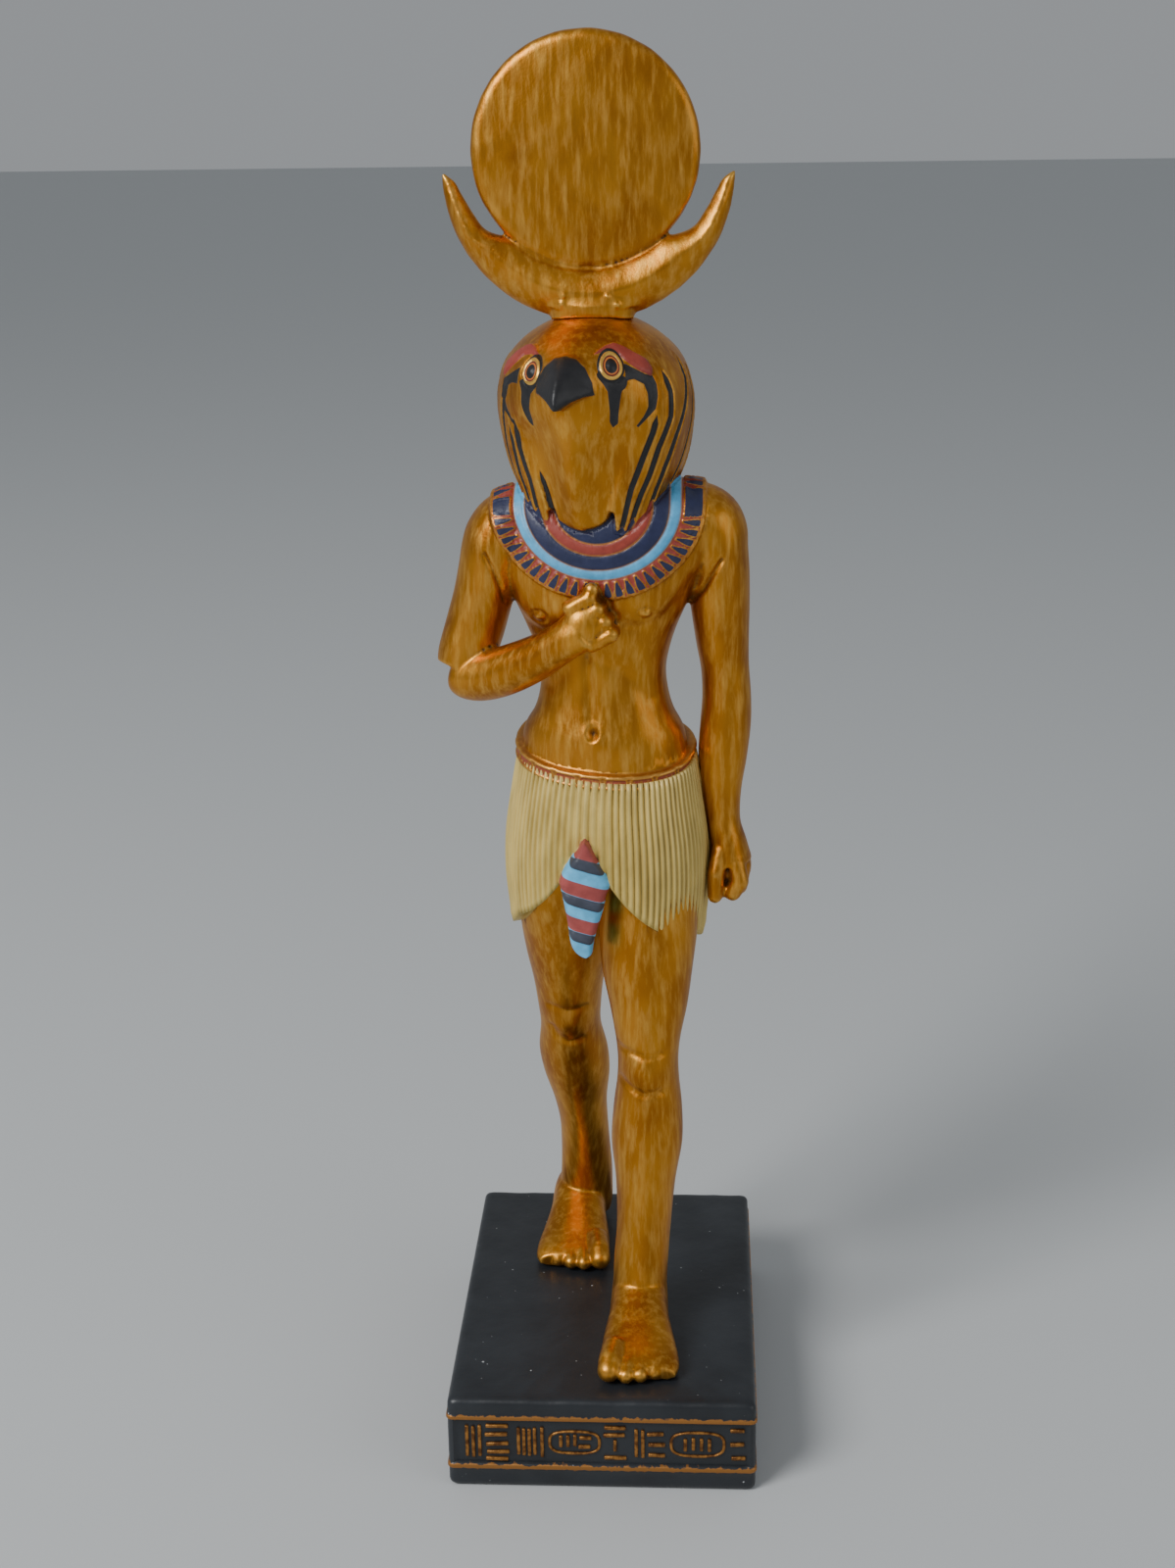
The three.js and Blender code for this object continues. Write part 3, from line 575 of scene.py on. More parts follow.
FRONT_BULGES = [
    ((8.6, 184.6), (7, 4.6), 0.9),
    ((-12.4, 183.2), (6, 4.4), 0.7),
    ((9.2, 182.2), (0.75, 0.65), 0.45),
    ((-12.6, 180.8), (0.75, 0.65), 0.45),
    ((-1.8, 153.2), (7, 3.4), 0.6),
    ((9, 82.2), (3.2, 2.6), 0.7),
    ((-9.2, 82.6), (3, 2.6), 0.6),
    ((3.4, 99), (3, 9), 0.35),
]
BACK_TRENCHES = [
    ([(0, 190), (0, 180), (0.3, 168), (0.4, 156)], 2.2, 1.0),
    ([(-15, 181), (-9, 178), (-4, 183)], 2, 0.5),
    ([(15, 181), (9, 178), (4, 183)], 2, 0.5),
]
BACK_BULGES = [((-10.5, 186), (5, 6), 1.0), ((10.5, 186), (5, 6), 1.0), ((9, 72), (4, 10), 0.5)]
x, y, z = points.T
facing = ease(0.05, 0.45, -normals[:, 1])
backing = ease(0.05, 0.45, normals[:, 1])
hand_gap = np.array([hand_surface.find_nearest(Vector(p) * MM)[3] for p in points]) / MM
off_hand = ease(0.5, 1.4, hand_gap)
height = np.zeros(len(points))
for path, width, depth in FRONT_TRENCHES:
    height -= depth * trench(x, z, path, width) * facing * off_hand
for middle, sizes, rise in FRONT_BULGES:
    height += rise * bulge(x, z, middle, sizes) * facing * off_hand
for path, width, depth in BACK_TRENCHES:
    height -= depth * trench(x, z, path, width) * backing
for middle, sizes, rise in BACK_BULGES:
    height += rise * bulge(x, z, middle, sizes) * backing
navel = np.hypot((x + 1.9) / 0.85, (z - 155.9) / 1.05)
height -= 1.3 * np.exp(-(navel**2)) * facing
height += 0.22 * np.exp(-(((navel - 1.9) / 0.7) ** 2)) * facing
for middle in ((9.2, 182.2), (-12.6, 180.8)):
    ring = np.hypot(x - middle[0], (z - middle[1]) * 1.15)
    height -= 0.3 * np.exp(-(((ring - 1.5) / 0.5) ** 2)) * facing * off_hand
print("body carving from", height.min().round(2), "to", height.max().round(2), "mm")

# %% [markdown]
# ## The striped headcloth and the falcon's face
# The stripes are cut in, with pointed tops and a small raised edge, and the falcon's eye has a raised gold
# ring, a brow, a tear mark and a dark tail that curls back to the cheek. They are drawn in an unrolled view of
# the head: degrees round from the beak, and height. The unrolled view counts 18 mm of radius all round.

# %% Draw on the unrolled head
UNROLL = 18.0


def unrolled(path):
    return [(math.radians(turn) * UNROLL, z) for turn, z in path]


def stripe(path, width=0.66):
    drawn = unrolled(path)
    (a0, z0), (a1, z1) = drawn[:2]
    reach = min(0.5, 3 / math.hypot(a1 - a0, z1 - z0))
    shoulder = (a0 + (a1 - a0) * reach, z0 + (z1 - z0) * reach)
    return [drawn[0], shoulder] + drawn[1:], [0.05] + [width] * len(drawn)


STRIPES = [
    [(53, 222.8), (51, 219.6), (45, 214), (39, 208.3), (35, 201.7), (33, 199.2)],
    [(61, 231.3), (65, 227), (64, 222.3), (56, 216.2), (51, 210.6), (44, 204.1), (40, 199.3)],
    [(87, 233.4), (87, 228.7), (80, 223.9), (71, 218.4), (63, 211.8), (59, 206.2), (52, 199.3)],
    [(98, 231), (96, 226), (92, 219), (84, 212.6), (76, 207.4), (68, 199.3)],
    [(116, 235), (114, 228), (108, 220), (100, 212), (92, 204.6), (86, 196.5)],
    [(-28, 211.6), (-25, 207.4), (-22, 199.4)],
    [(-41, 221.9), (-41, 215.7), (-37, 209.6), (-37, 204.2), (-34, 199.3)],
    [(-47, 220.4), (-47.5, 214.6), (-46.5, 208.8), (-43, 199.3)],
    [(-43, 228.6), (-50, 225.1), (-53, 221.8), (-58, 215), (-55, 208.2), (-53, 199.3)],
    [(-68, 233), (-66, 226), (-69, 218), (-68, 209), (-65, 199.3)],
    [(-86, 234.4), (-84, 226), (-84, 216), (-81, 206), (-78, 197.5)],
    [(-104, 235.4), (-101, 226), (-99, 214), (-95, 203), (-92, 194)],
]
for turn in (130, 145, 160, 175, 190, 205, 220, 235):
    lean = (turn - 182) * -0.14
    STRIPES.append([(turn, 236.5), (turn, 226), (turn + lean * 0.5, 212), (turn + lean, 191.5)])
BROWS = [
    [(14, 234.6), (19, 235.8), (25, 236.6), (31, 237), (38, 236.2), (43, 235.2), (51, 233.7), (53, 231.9)]
    + [(51, 230.5), (43, 231.8), (37, 233.3), (35, 233.9), (32, 234.9), (26, 235.4), (20, 235.3)],
    [(-16, 233.6), (-22, 235), (-27, 236), (-34, 236.4), (-40, 236), (-47, 234.6), (-52, 232.8), (-53, 231)]
    + [(-50, 229.8), (-44, 231.2), (-38, 233), (-34, 234.3), (-27, 234.7), (-21, 234.1)],
]
EYE_TAILS = [
    [(47, 231), (52, 230.6), (54, 228.9), (54, 226.7), (52, 224.2), (46, 222.4), (41, 220.7)]
    + [(40, 221.1), (44, 222.9), (47, 224.8), (47, 227.4), (45, 229.2), (39, 230.3), (34, 230.2), (34, 233.4)],
    [(-46, 230), (-51, 229.4), (-53, 227.6), (-52, 225.4), (-50, 223.4), (-45, 221.8), (-41, 220.2)]
    + [(-40, 220.8), (-43, 222.2), (-46, 224), (-46.5, 226.2), (-44, 228), (-39, 229), (-33, 229), (-32, 232.2)],
]
TEARS = [
    [(35, 230.6), (34, 228.9), (31, 228.2), (30, 226.5), (29, 223.8), (29, 221.8), (26, 221), (24, 222.2)]
    + [(24, 224.4), (23, 228.3), (21, 229.6), (17, 231.4), (20, 233)],
    [(-31, 229.6), (-29, 227.6), (-30, 225.1), (-29, 223.6), (-27, 221.6), (-24, 220.7), (-23, 222)]
    + [(-23.5, 224.5), (-21, 227.4), (-17, 228.8), (-13, 230.4), (-15, 232.6)],
]
EYES = [(26, 233), (-21.5, 231.7)]
EYE_SIZE = (2.15, 2.55)


def head_marks(points):
    side, ahead, z = to_head(points)
    around = np.arctan2(side, ahead) * UNROLL
    around_back = np.where(around < -math.radians(120) * UNROLL, around + 2 * math.pi * UNROLL, around)
    cut = np.full(len(points), -9.0)
    for path in STRIPES:
        cut = np.maximum(cut, stroke_inside(around_back, z, *stripe(path)))
    brow = np.max([edge_distance(around, z, unrolled(outline)) for outline in BROWS], axis=0)
    dark = np.max([edge_distance(around, z, unrolled(outline)) for outline in EYE_TAILS + TEARS], axis=0)
    rings = []
    for turn, level in EYES:
        a = (around - math.radians(turn) * UNROLL) / EYE_SIZE[0]
        b = (z - level) / EYE_SIZE[1]
        rings.append((1 - np.hypot(a, b)) * EYE_SIZE[0])
    eye = np.max(rings, axis=0)
    beak = np.where(ahead > 0, edge_distance(side, z, BEAK_OUTLINE), -9)
    return cut, brow, dark, eye, beak


def distances(surface, points):
    return np.array([surface.find_nearest(Vector(p) * MM)[3] for p in points]) / MM


COLLAR_PROUD = 0.7
cut, brow, dark, eye, beak = head_marks(points)
to_cloth = distances(head_surface, points)
to_body = distances(limbs_and_trunk, points)
on_cloth = ease(-0.2, 0.2, to_body - to_cloth)
carved = -0.34 * ease(-0.15, 0.3, cut) + 0.12 * np.exp(-(((cut + 0.35) / 0.28) ** 2))
carved = np.where(eye > -0.6, 0, carved)
carved += 0.4 * ease(-0.1, 0.35, brow) - 0.16 * ease(-0.1, 0.25, dark) * (eye < -0.2)
carved += 0.35 * np.exp(-(((eye - 0.28) / 0.3) ** 2)) - 0.25 * np.exp(-(((eye + 0.35) / 0.3) ** 2))
carved += 0.45 * ease(0.75, 2, eye)
carved = np.where(beak > -0.2, 0, carved)
height += carved * on_cloth
print("head carving from", carved.min().round(2), "to", carved.max().round(2), "mm")

# %% [markdown]
# ## The broad collar
# Bead collars are drawn as rings round the neck: two narrow bands of blue and red, a blue one, a light one, and
# an outer row of long drops. On a cast they are low relief with gilt edges. Distance from the neck picks the
# ring, and distance along it spaces the drops.

# %% Rings and drops
NECK_X, NECK_Z = -0.6, 204
COLLAR_EDGE = 22.2
COLLAR_RINGS = (8.7, 11.4, 14.9, 17.2)
DROP_PITCH = 2.3


def collar_marks(points):
    x, y, z = points.T
    dx = x - NECK_X
    down = np.maximum(NECK_Z - z, 0)
    squash = 0.85 + (0.59 - 0.85) * ease(5, 12, y)
    rho = np.hypot(dx, down / squash)
    swing = np.arctan2(np.abs(dx), down / squash)
    front = swing / (math.pi / 2) * 32
    behind = 32 + 11.2 + (1 - swing / (math.pi / 2)) * 28
    over = 32 + np.clip(y - 2.4, 0, 11.2)
    arc = np.where((down > 2.5) & (y < 8), front, np.where((down > 2.5) & (y >= 8), behind, over))
    nearest = np.abs((arc / DROP_PITCH + 0.5) % 1 - 0.5) * DROP_PITCH
    half = 0.28 + 0.42 * ease(17.8, 20.6, rho)
    drop = np.minimum(half - nearest, np.minimum(rho - 17.9, 21.5 - rho))
    return rho, drop


rho, drop = collar_marks(points)
lying = (1 - on_cloth) * (z > 178) * ease(0.7, 1.0, hand_gap) * (np.abs(x) < 26)
rise = COLLAR_PROUD * ease(COLLAR_EDGE + 0.25, COLLAR_EDGE - 0.25, rho)
for ring in COLLAR_RINGS:
    rise -= 0.3 * np.exp(-(((rho - ring) / 0.3) ** 2))
row = ease(17.2, 17.7, rho) * ease(22.2, 21.8, rho)
rise += row * (0.28 * np.exp(-(((drop + 0.14) / 0.2) ** 2)) - 0.12 * (drop < -0.4) + 0.12 * ease(0.1, 0.4, drop))
height += rise * lying
print("collar points:", int((lying * (rho < COLLAR_EDGE)).sum()))

# %% [markdown]
# ## Thin the skin
# Half a million points are needed only while carving. Collapsing edges afterwards keeps them close together on
# the head, collar and hands, where the marks are fine, and lets the smooth legs and arms go coarser.

# %% Move the skin, then thin it
moved = points + normals * height[:, None]
figure.data.vertices.foreach_set("co", (moved * MM).astype(np.float32).ravel())
figure.data.update()
fine = figure.vertex_groups.new(name="plain")
detail = np.maximum(on_cloth, lying * (rho < COLLAR_EDGE + 1))
detail = np.maximum(detail, 0.5 * (hand_gap < 1.2) * (y < 2))
detail = np.maximum(detail, 0.4 * (z < 30))
levels = np.round(1 - 0.8 * detail, 1)
for level in np.unique(levels):
    fine.add(np.flatnonzero(levels == level).tolist(), float(level), "REPLACE")
SKIN_TRIANGLES = 150000
triangles = 2 * len(figure.data.vertices)
modify(
    figure, "DECIMATE", ratio=SKIN_TRIANGLES / triangles, use_collapse_triangulate=True,
    vertex_group="plain", vertex_group_factor=2e-7,
)
settle(figure)
print("thinned skin:", len(figure.data.polygons), "triangles")

# %% [markdown]
# ## The pleated kilt
# Linen pleats hang as narrow ridges with a sharp shadow between them. The tube's section is rippled for them, a
# little unevenly, as hand-cut pleats are. The hem sweeps up to the front, and the underside follows the hem
# inwards, so the form is closed like the casting.

# %% Kilt
KILT = [
    (104, 20.1, 18.6, 17.7, -0.16),
    (113, 21.1, 18.7, 17.9, -0.17),
    (122, 22, 18.3, 17.7, -0.18),
    (131, 21.8, 17.5, 17.1, -0.19),
    (140, 20.5, 15.7, 15.7, -0.2),
    (147, 19.3, 13.7, 14.1, -0.2),
    (153, 17.9, 12.5, 12.9, -0.2),
]
KILT_X, KILT_Y = 0.6, 8.2
HEM = 107
FLAPS_MEET_X, FLAPS_MEET_Z = -3.6, 133.8
HEM_SWEEP, HEM_RUN = 30, 13.5
PLEATS = 92
PLEAT_POINTS = 6
KILT_ROWS = 26
UNDERSIDE = 0.3
BELT_LEVEL, BELT_SLOPE = 149.6, 0.26


def hem_height(x, y):
    run = np.abs(x - FLAPS_MEET_X) + np.maximum(0, y)
    return np.maximum(HEM, FLAPS_MEET_Z - HEM_SWEEP * (1 - np.exp(-run / HEM_RUN)))


def belt_height(y):
    return BELT_LEVEL + BELT_SLOPE * (y - KILT_Y)


def kilt_outline(angle, z, swell):
    table = np.array(KILT)
    half, front, back, turn = flow(table[:, 0], table[:, 1:], z).T
    across, deep = section(angle, half + swell, front + swell, back + swell, 2.2)
    c, s = np.cos(turn), np.sin(turn)
    return KILT_X + across * c - deep * s, KILT_Y + across * s + deep * c


rng = np.random.default_rng(7)
pleat_depth = 0.3 + 0.12 * rng.random(PLEATS)
pleat_shift = 0.22 * rng.standard_normal(PLEATS)
PLEAT_PROFILE = np.array([-1, 0.35, 1, 1, 0.75, 0.1])


def kilt_shape(angle, share):
    column = np.rint(angle / (2 * np.pi) * PLEATS * PLEAT_POINTS).astype(int) % (PLEATS * PLEAT_POINTS)
    pleat = column // PLEAT_POINTS
    angle = angle + 2 * np.pi / PLEATS * 0.3 * (pleat_shift[pleat] + pleat_shift[pleat - 1]) / 2
    up = np.clip((share - UNDERSIDE) / (1 - UNDERSIDE), 0, 1)
    inward = np.clip(share / UNDERSIDE, 0, 1)
    z = np.full(len(angle), 125.0)
    for _ in range(5):
        x, y = kilt_outline(angle, z, 0)
        hem = hem_height(x, y)
        z = hem + (belt_height(y) - hem) * up
    ripple = pleat_depth[pleat] * PLEAT_PROFILE[column % PLEAT_POINTS] * ease(0, 0.04, up)
    edge = 0.25 * ease(0, 0.02, up) * ease(0.09, 0.03, up)
    x, y = kilt_outline(angle, z, 0.1 + ripple + edge)
    under_x = KILT_X + (x - KILT_X) * inward
    under_y = KILT_Y + (y - KILT_Y) * inward
    z = np.where(inward < 1, hem_height(under_x, under_y), z)
    return np.stack([under_x, under_y, z], 1)


kilt = tube(kilt_shape, PLEATS * PLEAT_POINTS, KILT_ROWS)
print("kilt:", len(kilt.faces), "faces,", PLEATS, "pleats")

# %% [markdown]
# ## The belt
# A woven belt is cast as a band of framed links. Its section has two raised edges, and round it the frames
# stand proud of sunken rectangles. It tips down towards the front.

# %% Belt
BELT_HALF, BELT_DEEP, BELT_WIDTH, BELT_TURN = 18.9, 13.7, 3.2, -0.2
LINK_PITCH, LINK_LONG, LINK_HIGH = 5.4, 4.1, 1.7


def belt_link(around, up):
    """How far inside a rounded link a point of the band lies."""
    across = np.abs((around / LINK_PITCH + 0.5) % 1 - 0.5) * LINK_PITCH
    corner = 0.55
    out_a = np.maximum(across - (LINK_LONG / 2 - corner), 0)
    out_b = np.maximum(np.abs(up) - (LINK_HIGH / 2 - corner), 0)
    return corner - np.hypot(out_a, out_b)


def belt_around(angle):
    """Millimetres along the band from the middle of the front."""
    fine_angle = np.linspace(0, 2 * np.pi, 2001)
    across, deep = section(fine_angle, BELT_HALF, BELT_DEEP, BELT_DEEP, 2.2)
    run = np.concatenate([[0], np.cumsum(np.hypot(np.diff(across), np.diff(deep)))])
    return np.interp(angle % (2 * np.pi), fine_angle, run) - np.interp(1.5 * np.pi, fine_angle, run)


BELT_PROFILE = [(-1.0, -1.5), (-1.0, 0.2), (-0.86, 0.55), (-0.66, 0.62), (-0.54, 0.4), (-0.4, 0.3), (-0.2, 0.3)]
BELT_PROFILE += [(0, 0.3)] + [(-up, out) for up, out in BELT_PROFILE[::-1]]


def belt_shape(angle, share):
    up, out = rows_of(BELT_PROFILE, share)
    rise = up * BELT_WIDTH / 2
    link = belt_link(belt_around(angle), rise)
    frame_line = 0.26 * np.exp(-(((link + 0.2) / 0.2) ** 2)) + 0.12 * ease(0.2, 0.5, link)
    out = out + np.where(np.abs(up) < 0.75, frame_line - 0.12, 0)
    across, deep = section(angle, BELT_HALF + out, BELT_DEEP + out, BELT_DEEP + out, 2.2)
    c, s = math.cos(BELT_TURN), math.sin(BELT_TURN)
    y = KILT_Y + across * s + deep * c
    return np.stack([KILT_X - 0.3 + across * c - deep * s, y, belt_height(y) + rise], 1)


belt = tube(belt_shape, 420, 16)
print("belt:", len(belt.faces), "faces")

# %% [markdown]
# ## The tab under the belt
# A stiff striped apron end hangs below the point where the kilt's flaps meet. It widens to two shoulders and
# narrows to the hem. Slanting bars cross it, and the dark ones stand up as rounded ridges.

# %% Tab
TAB = [
    (134.6, -3.6, 0.15),
    (133.6, -3.55, 0.95),
    (132.3, -3.5, 1.6),
    (130.3, -3.8, 2.9),
    (127.8, -3.75, 4.4),
    (125.3, -3.55, 5.6),
    (124.4, -3.6, 5.45),
    (122, -3.85, 4.7),
    (119, -3.9, 4.1),
    (115.5, -4.15, 3.3),
    (112, -4.4, 2.6),
    (110.2, -4.2, 2.1),
    (109.3, -3.8, 1.5),
    (108.9, -3.6, 0.5),
]
TAB_SLANT = 0.295
TAB_FRONT, TAB_BACK = -11.9, -6
SLATE_BARS = [(129.6, 1.3), (121.1, 1.15), (113.2, 1.15)]


def tab_half(z):
    table = np.array(TAB)[::-1]
    return np.interp(z, table[:, 0], table[:, 1]), np.interp(z, table[:, 0], table[:, 2])


def tab_bars(x, z):
    """How far inside the nearest raised dark bar a point of the tab lies."""
    middle, half = tab_half(z)
    level = z + TAB_SLANT * (x - FLAPS_MEET_X)
    best = np.full(len(x), -9.0)
    for bar, rise in SLATE_BARS:
        reach = np.maximum(half - 0.35 - rise * 0.7, 0.05)
        out = np.maximum(np.abs(x - middle) - reach, 0)
        best = np.maximum(best, rise - np.hypot(out, level - bar))
    return best


def tab_shape(angle, share):
    z, middle, half = rows_of(TAB, share)
    c, s = np.cos(angle), np.sin(angle)
    across = np.sign(c) * np.abs(c) ** 0.5 * half
    flat = np.sign(s) * np.abs(s) ** 0.42
    x = middle + across
    raised = 0.5 * ease(-0.15, 0.6, tab_bars(x, z)) * (flat < -0.8)
    bend = 0.018 * (z - 121)
    y = np.where(flat < 0, TAB_FRONT * -flat + TAB_BACK * (1 + flat), TAB_BACK + flat * 1.5) + bend - raised
    return np.stack([x, y, z], 1)


tab = tube(tab_shape, 44, 96)
print("tab:", len(tab.faces), "faces")

# %% [markdown]
# ## One casting
# The mould makes body, kilt, belt and tab in one pour, so they are united into one closed mesh. Each form
# carries its own material slot into the union, which keeps the painter's borders exactly on the edges.

# %% Unite the forms
MATERIAL_NAMES = ("antique_gold_paint", "pleated_cream_enamel", "belt_enamel_and_gilt", "striped_tab_enamel")
materials = {}


def material(name):
    materials[name] = bpy.data.materials.new(name)
    materials[name].use_nodes = True
    return materials[name]


figure.data.materials.clear()
figure.data.materials.append(material(MATERIAL_NAMES[0]))
for form, name in zip((kilt, belt, tab), MATERIAL_NAMES[1:]):
    bmesh.ops.triangulate(form, faces=form.faces)
    other = place(form, name)
    other.data.materials.append(material(name))
    modify(figure, "BOOLEAN", object=other, operation="UNION", solver="MANIFOLD", material_mode="TRANSFER")
settle(figure)
for name in MATERIAL_NAMES[1:]:
    bpy.data.objects.remove(bpy.data.objects[name])
open_edges = bmesh.new()
open_edges.from_mesh(figure.data)
print("figure:", len(figure.data.polygons), "faces, open edges:", sum(not e.is_manifold for e in open_edges.edges))
open_edges.free()

# %% [markdown]
# ## Where the paint goes
# The painter follows the carving, so the same drawings that cut the stripes now say where the colours go.
# Distances in mm are stored on the vertices and the materials switch colour where they cross zero. That keeps
# a border sharp between two vertices. One more number tells hollows from edges, for the dark wash that a
# painter wipes off the high places and for a painted highlight on the edges.

# %% Store the distances
def store(mesh, name, values):
    attribute = mesh.attributes.new(name, "FLOAT", "POINT")
    attribute.data.foreach_set("value", np.asarray(values, np.float32))


def hollows(mesh, passes=3):
    """Positive in hollows and negative on edges, as curvature per mm, smoothed along the mesh."""
    points = read(mesh.vertices) / MM
    normals = read(mesh.vertices, "normal")
    ends = np.empty(len(mesh.edges) * 2, np.int32)
    mesh.edges.foreach_get("vertices", ends)
    a, b = ends.reshape(-1, 2).T
    step = points[b] - points[a]
    size = np.maximum((step**2).sum(1), 0.01)
    tilt_a = (step * normals[a]).sum(1) / size
    tilt_b = -(step * normals[b]).sum(1) / size
    count = np.maximum(np.bincount(a, minlength=len(points)) + np.bincount(b, minlength=len(points)), 1)
    value = (np.bincount(a, tilt_a, len(points)) + np.bincount(b, tilt_b, len(points))) / count
    for _ in range(passes):
        spread = np.bincount(a, value[b], len(points)) + np.bincount(b, value[a], len(points))
        value = 0.5 * value + 0.5 * spread / count
    return value


mesh = figure.data
points = read(mesh.vertices) / MM
x, y, z = points.T
cut, brow, dark, eye, beak = head_marks(points)
to_cloth = distances(head_surface, points)
to_body = distances(limbs_and_trunk, points)
hand_gap = distances(hand_surface, points)
cloth_here = (to_body - COLLAR_PROUD * ease(22, 20, np.hypot(x - NECK_X, NECK_Z - z))) - to_cloth
rho, drop = collar_marks(points)
store(mesh, "stripes", np.minimum(np.maximum(cut, dark), cloth_here))
store(mesh, "beak", np.minimum(beak, cloth_here))
store(mesh, "brow", np.minimum(brow, cloth_here))
store(mesh, "eye", np.where(cloth_here > -1, eye, -9))
store(mesh, "collar", np.minimum(np.minimum(-cloth_here, COLLAR_EDGE - rho), np.minimum(hand_gap - 0.8, z - 178)))
store(mesh, "ring", rho)
store(mesh, "drop", drop)
store(mesh, "bars", tab_bars(x, z))
c, s = math.cos(BELT_TURN), math.sin(BELT_TURN)
across = ((x - KILT_X + 0.3) * c + (y - KILT_Y) * s) / BELT_HALF
deep = ((y - KILT_Y) * c - (x - KILT_X + 0.3) * s) / BELT_DEEP
turned = np.arctan2(np.sign(deep) * np.abs(deep) ** 1.1, np.sign(across) * np.abs(across) ** 1.1)
store(mesh, "link", belt_link(belt_around(turned), z - belt_height(y)))
store(mesh, "hollow", hollows(mesh))
print("stored:", [attribute.name for attribute in mesh.attributes if attribute.data_type == "FLOAT"])

# %% [markdown]
# ## The moon: disc and crescent
# The full moon lies in the new moon's crescent. The disc is a shallow lens spun from its profile. The crescent
# is a limb with a sharp front edge, bent round an arc and drawn out to rounded tips. Both sit on a saddle that
# fits the crown.

# %% Disc, crescent and saddle
MOON_Y = 6.5
DISC = (-2.35, 272.6)
DISC_RADIUS, DISC_HALF = 22.62, 3.15
CRESCENT = (-1.85, 268.6)
CRESCENT_RADIUS = 28.9
HORN_TURNS = [0, 3, 9, 19, 29, 35, 40, 50, 70, 90]
HORN_WIDTHS = [0.3, 2.2, 3.5, 4.7, 5.9, 7.8, 9.5, 10.7, 11.2, 11.2]


def spun(profile, sides):
    form = bmesh.new()
    line = [form.verts.new(Vector((radius, depth, 0)) * MM) for radius, depth in profile]
    edges = [form.edges.new(pair) for pair in zip(line, line[1:])]
    bmesh.ops.spin(form, geom=line + edges, axis=(0, 1, 0), angle=2 * math.pi, steps=sides, use_merge=True)
    bmesh.ops.remove_doubles(form, verts=form.verts, dist=1e-7)
    bmesh.ops.recalc_face_normals(form, faces=form.faces)
    return form


half_profile = [(0, DISC_HALF)] + [(r, DISC_HALF - 1.15 * (r / 22) ** 2.2) for r in np.linspace(1, 21, 21)]
half_profile += [(21.8, 1.75), (22.3, 1.3), (22.55, 0.7), (DISC_RADIUS, 0)]
disc = spun(half_profile + [(r, -d) for r, d in half_profile[-2::-1]], 144)
bmesh.ops.translate(disc, verts=disc.verts, vec=Vector((DISC[0], MOON_Y, DISC[1])) * MM)


def crescent_shape(angle, share):
    turn = np.pi * share
    from_tip = 90 - np.abs(90 - np.degrees(turn))
    width = flow(HORN_TURNS, HORN_WIDTHS, from_tip)
    deep = 1 + 3.7 * np.sin(turn) ** 0.8 * ease(-4, 12, from_tip)
    deep = np.where(from_tip < 3, deep * np.sqrt(np.clip(from_tip / 3, 0.02, 1)), deep)
    c, s = np.cos(angle), np.sin(angle)
    out = CRESCENT_RADIUS - width / 2 + np.sign(c) * np.abs(c) ** 1.45 * width / 2
    ahead = np.sign(s) * np.abs(s) ** 1.25 * deep
    return np.stack([CRESCENT[0] - out * np.cos(turn), MOON_Y + ahead, CRESCENT[1] - out * np.sin(turn)], 1)


crescent = tube(crescent_shape, 64, 180)
SADDLE = [
    (235, -1.3, MOON_Y, 8.4, 5.2, 5.4, 0, 2.2),
    (241.4, -1.3, MOON_Y, 8.8, 5.4, 5.6, 0, 2.2),
    (243, -1.3, MOON_Y, 10.2, 5.2, 5.4, 0, 2.2),
    (245.6, -1.2, MOON_Y, 12.4, 4.4, 4.6, 0, 2.2),
    (248.5, -1.1, MOON_Y, 13, 3, 3.2, 0, 2.2),
]
saddle = level_form(SADDLE, 64, 40)
print("disc, crescent, saddle:", len(disc.faces), len(crescent.faces), len(saddle.faces), "faces")

# %% [markdown]
# ## Fit the saddle to the crown
# The CAD parts keep a third of a millimetre between neighbours. The saddle's underside is set to that same gap
# by dropping a line from each low point onto the finished crown. The surface is measured in millimetres here,
# because a line can slip past triangles that are tiny in metres.

# %% Fit, unite and soften
GAP = 0.3
SADDLE_FOOT, SADDLE_WAIST, SADDLE_FLARE = 235, 242.5, 243.2
ABOVE_ALL = 1000
crown_points = (read(figure.data.vertices) / MM).tolist()
crown_surface = BVHTree.FromPolygons(crown_points, [list(face.vertices) for face in figure.data.polygons])
missed = 0
for vertex in saddle.verts:
    x, y, z = vertex.co / MM
    if z < SADDLE_WAIST:
        spot = crown_surface.ray_cast(Vector((x, y, ABOVE_ALL)), Vector((0, 0, -1)))[0]
        missed += spot is None
        low = (spot.z if spot else SADDLE_FOOT) + GAP
        share = (z - SADDLE_FOOT) / (SADDLE_WAIST - SADDLE_FOOT)
        vertex.co.z = (low + (max(low, SADDLE_FLARE) - low) * share) * MM
print("saddle points that missed the crown:", missed)
headdress = place(disc, "headdress")
for form, name in ((crescent, "crescent"), (saddle, "saddle")):
    bmesh.ops.recalc_face_normals(form, faces=form.faces)
    modify(headdress, "BOOLEAN", object=place(form, name), operation="UNION", solver="MANIFOLD")
settle(headdress)
for name in ("crescent", "saddle"):
    bpy.data.objects.remove(bpy.data.objects[name])
modify(headdress, "REMESH", mode="VOXEL", voxel_size=0.38 * MM, adaptivity=0)
modify(headdress, "SMOOTH", factor=0.5, iterations=2)
settle(headdress)
points = read(headdress.data.vertices) / MM
normals = read(headdress.data.vertices, "normal")
x, y, z = points.T
radius = np.hypot(x - DISC[0], z - DISC[1])
seam = (z < 262) & (y < MOON_Y)
height = -0.14 * np.exp(-(((radius - 22.7) / 0.35) ** 2)) * seam
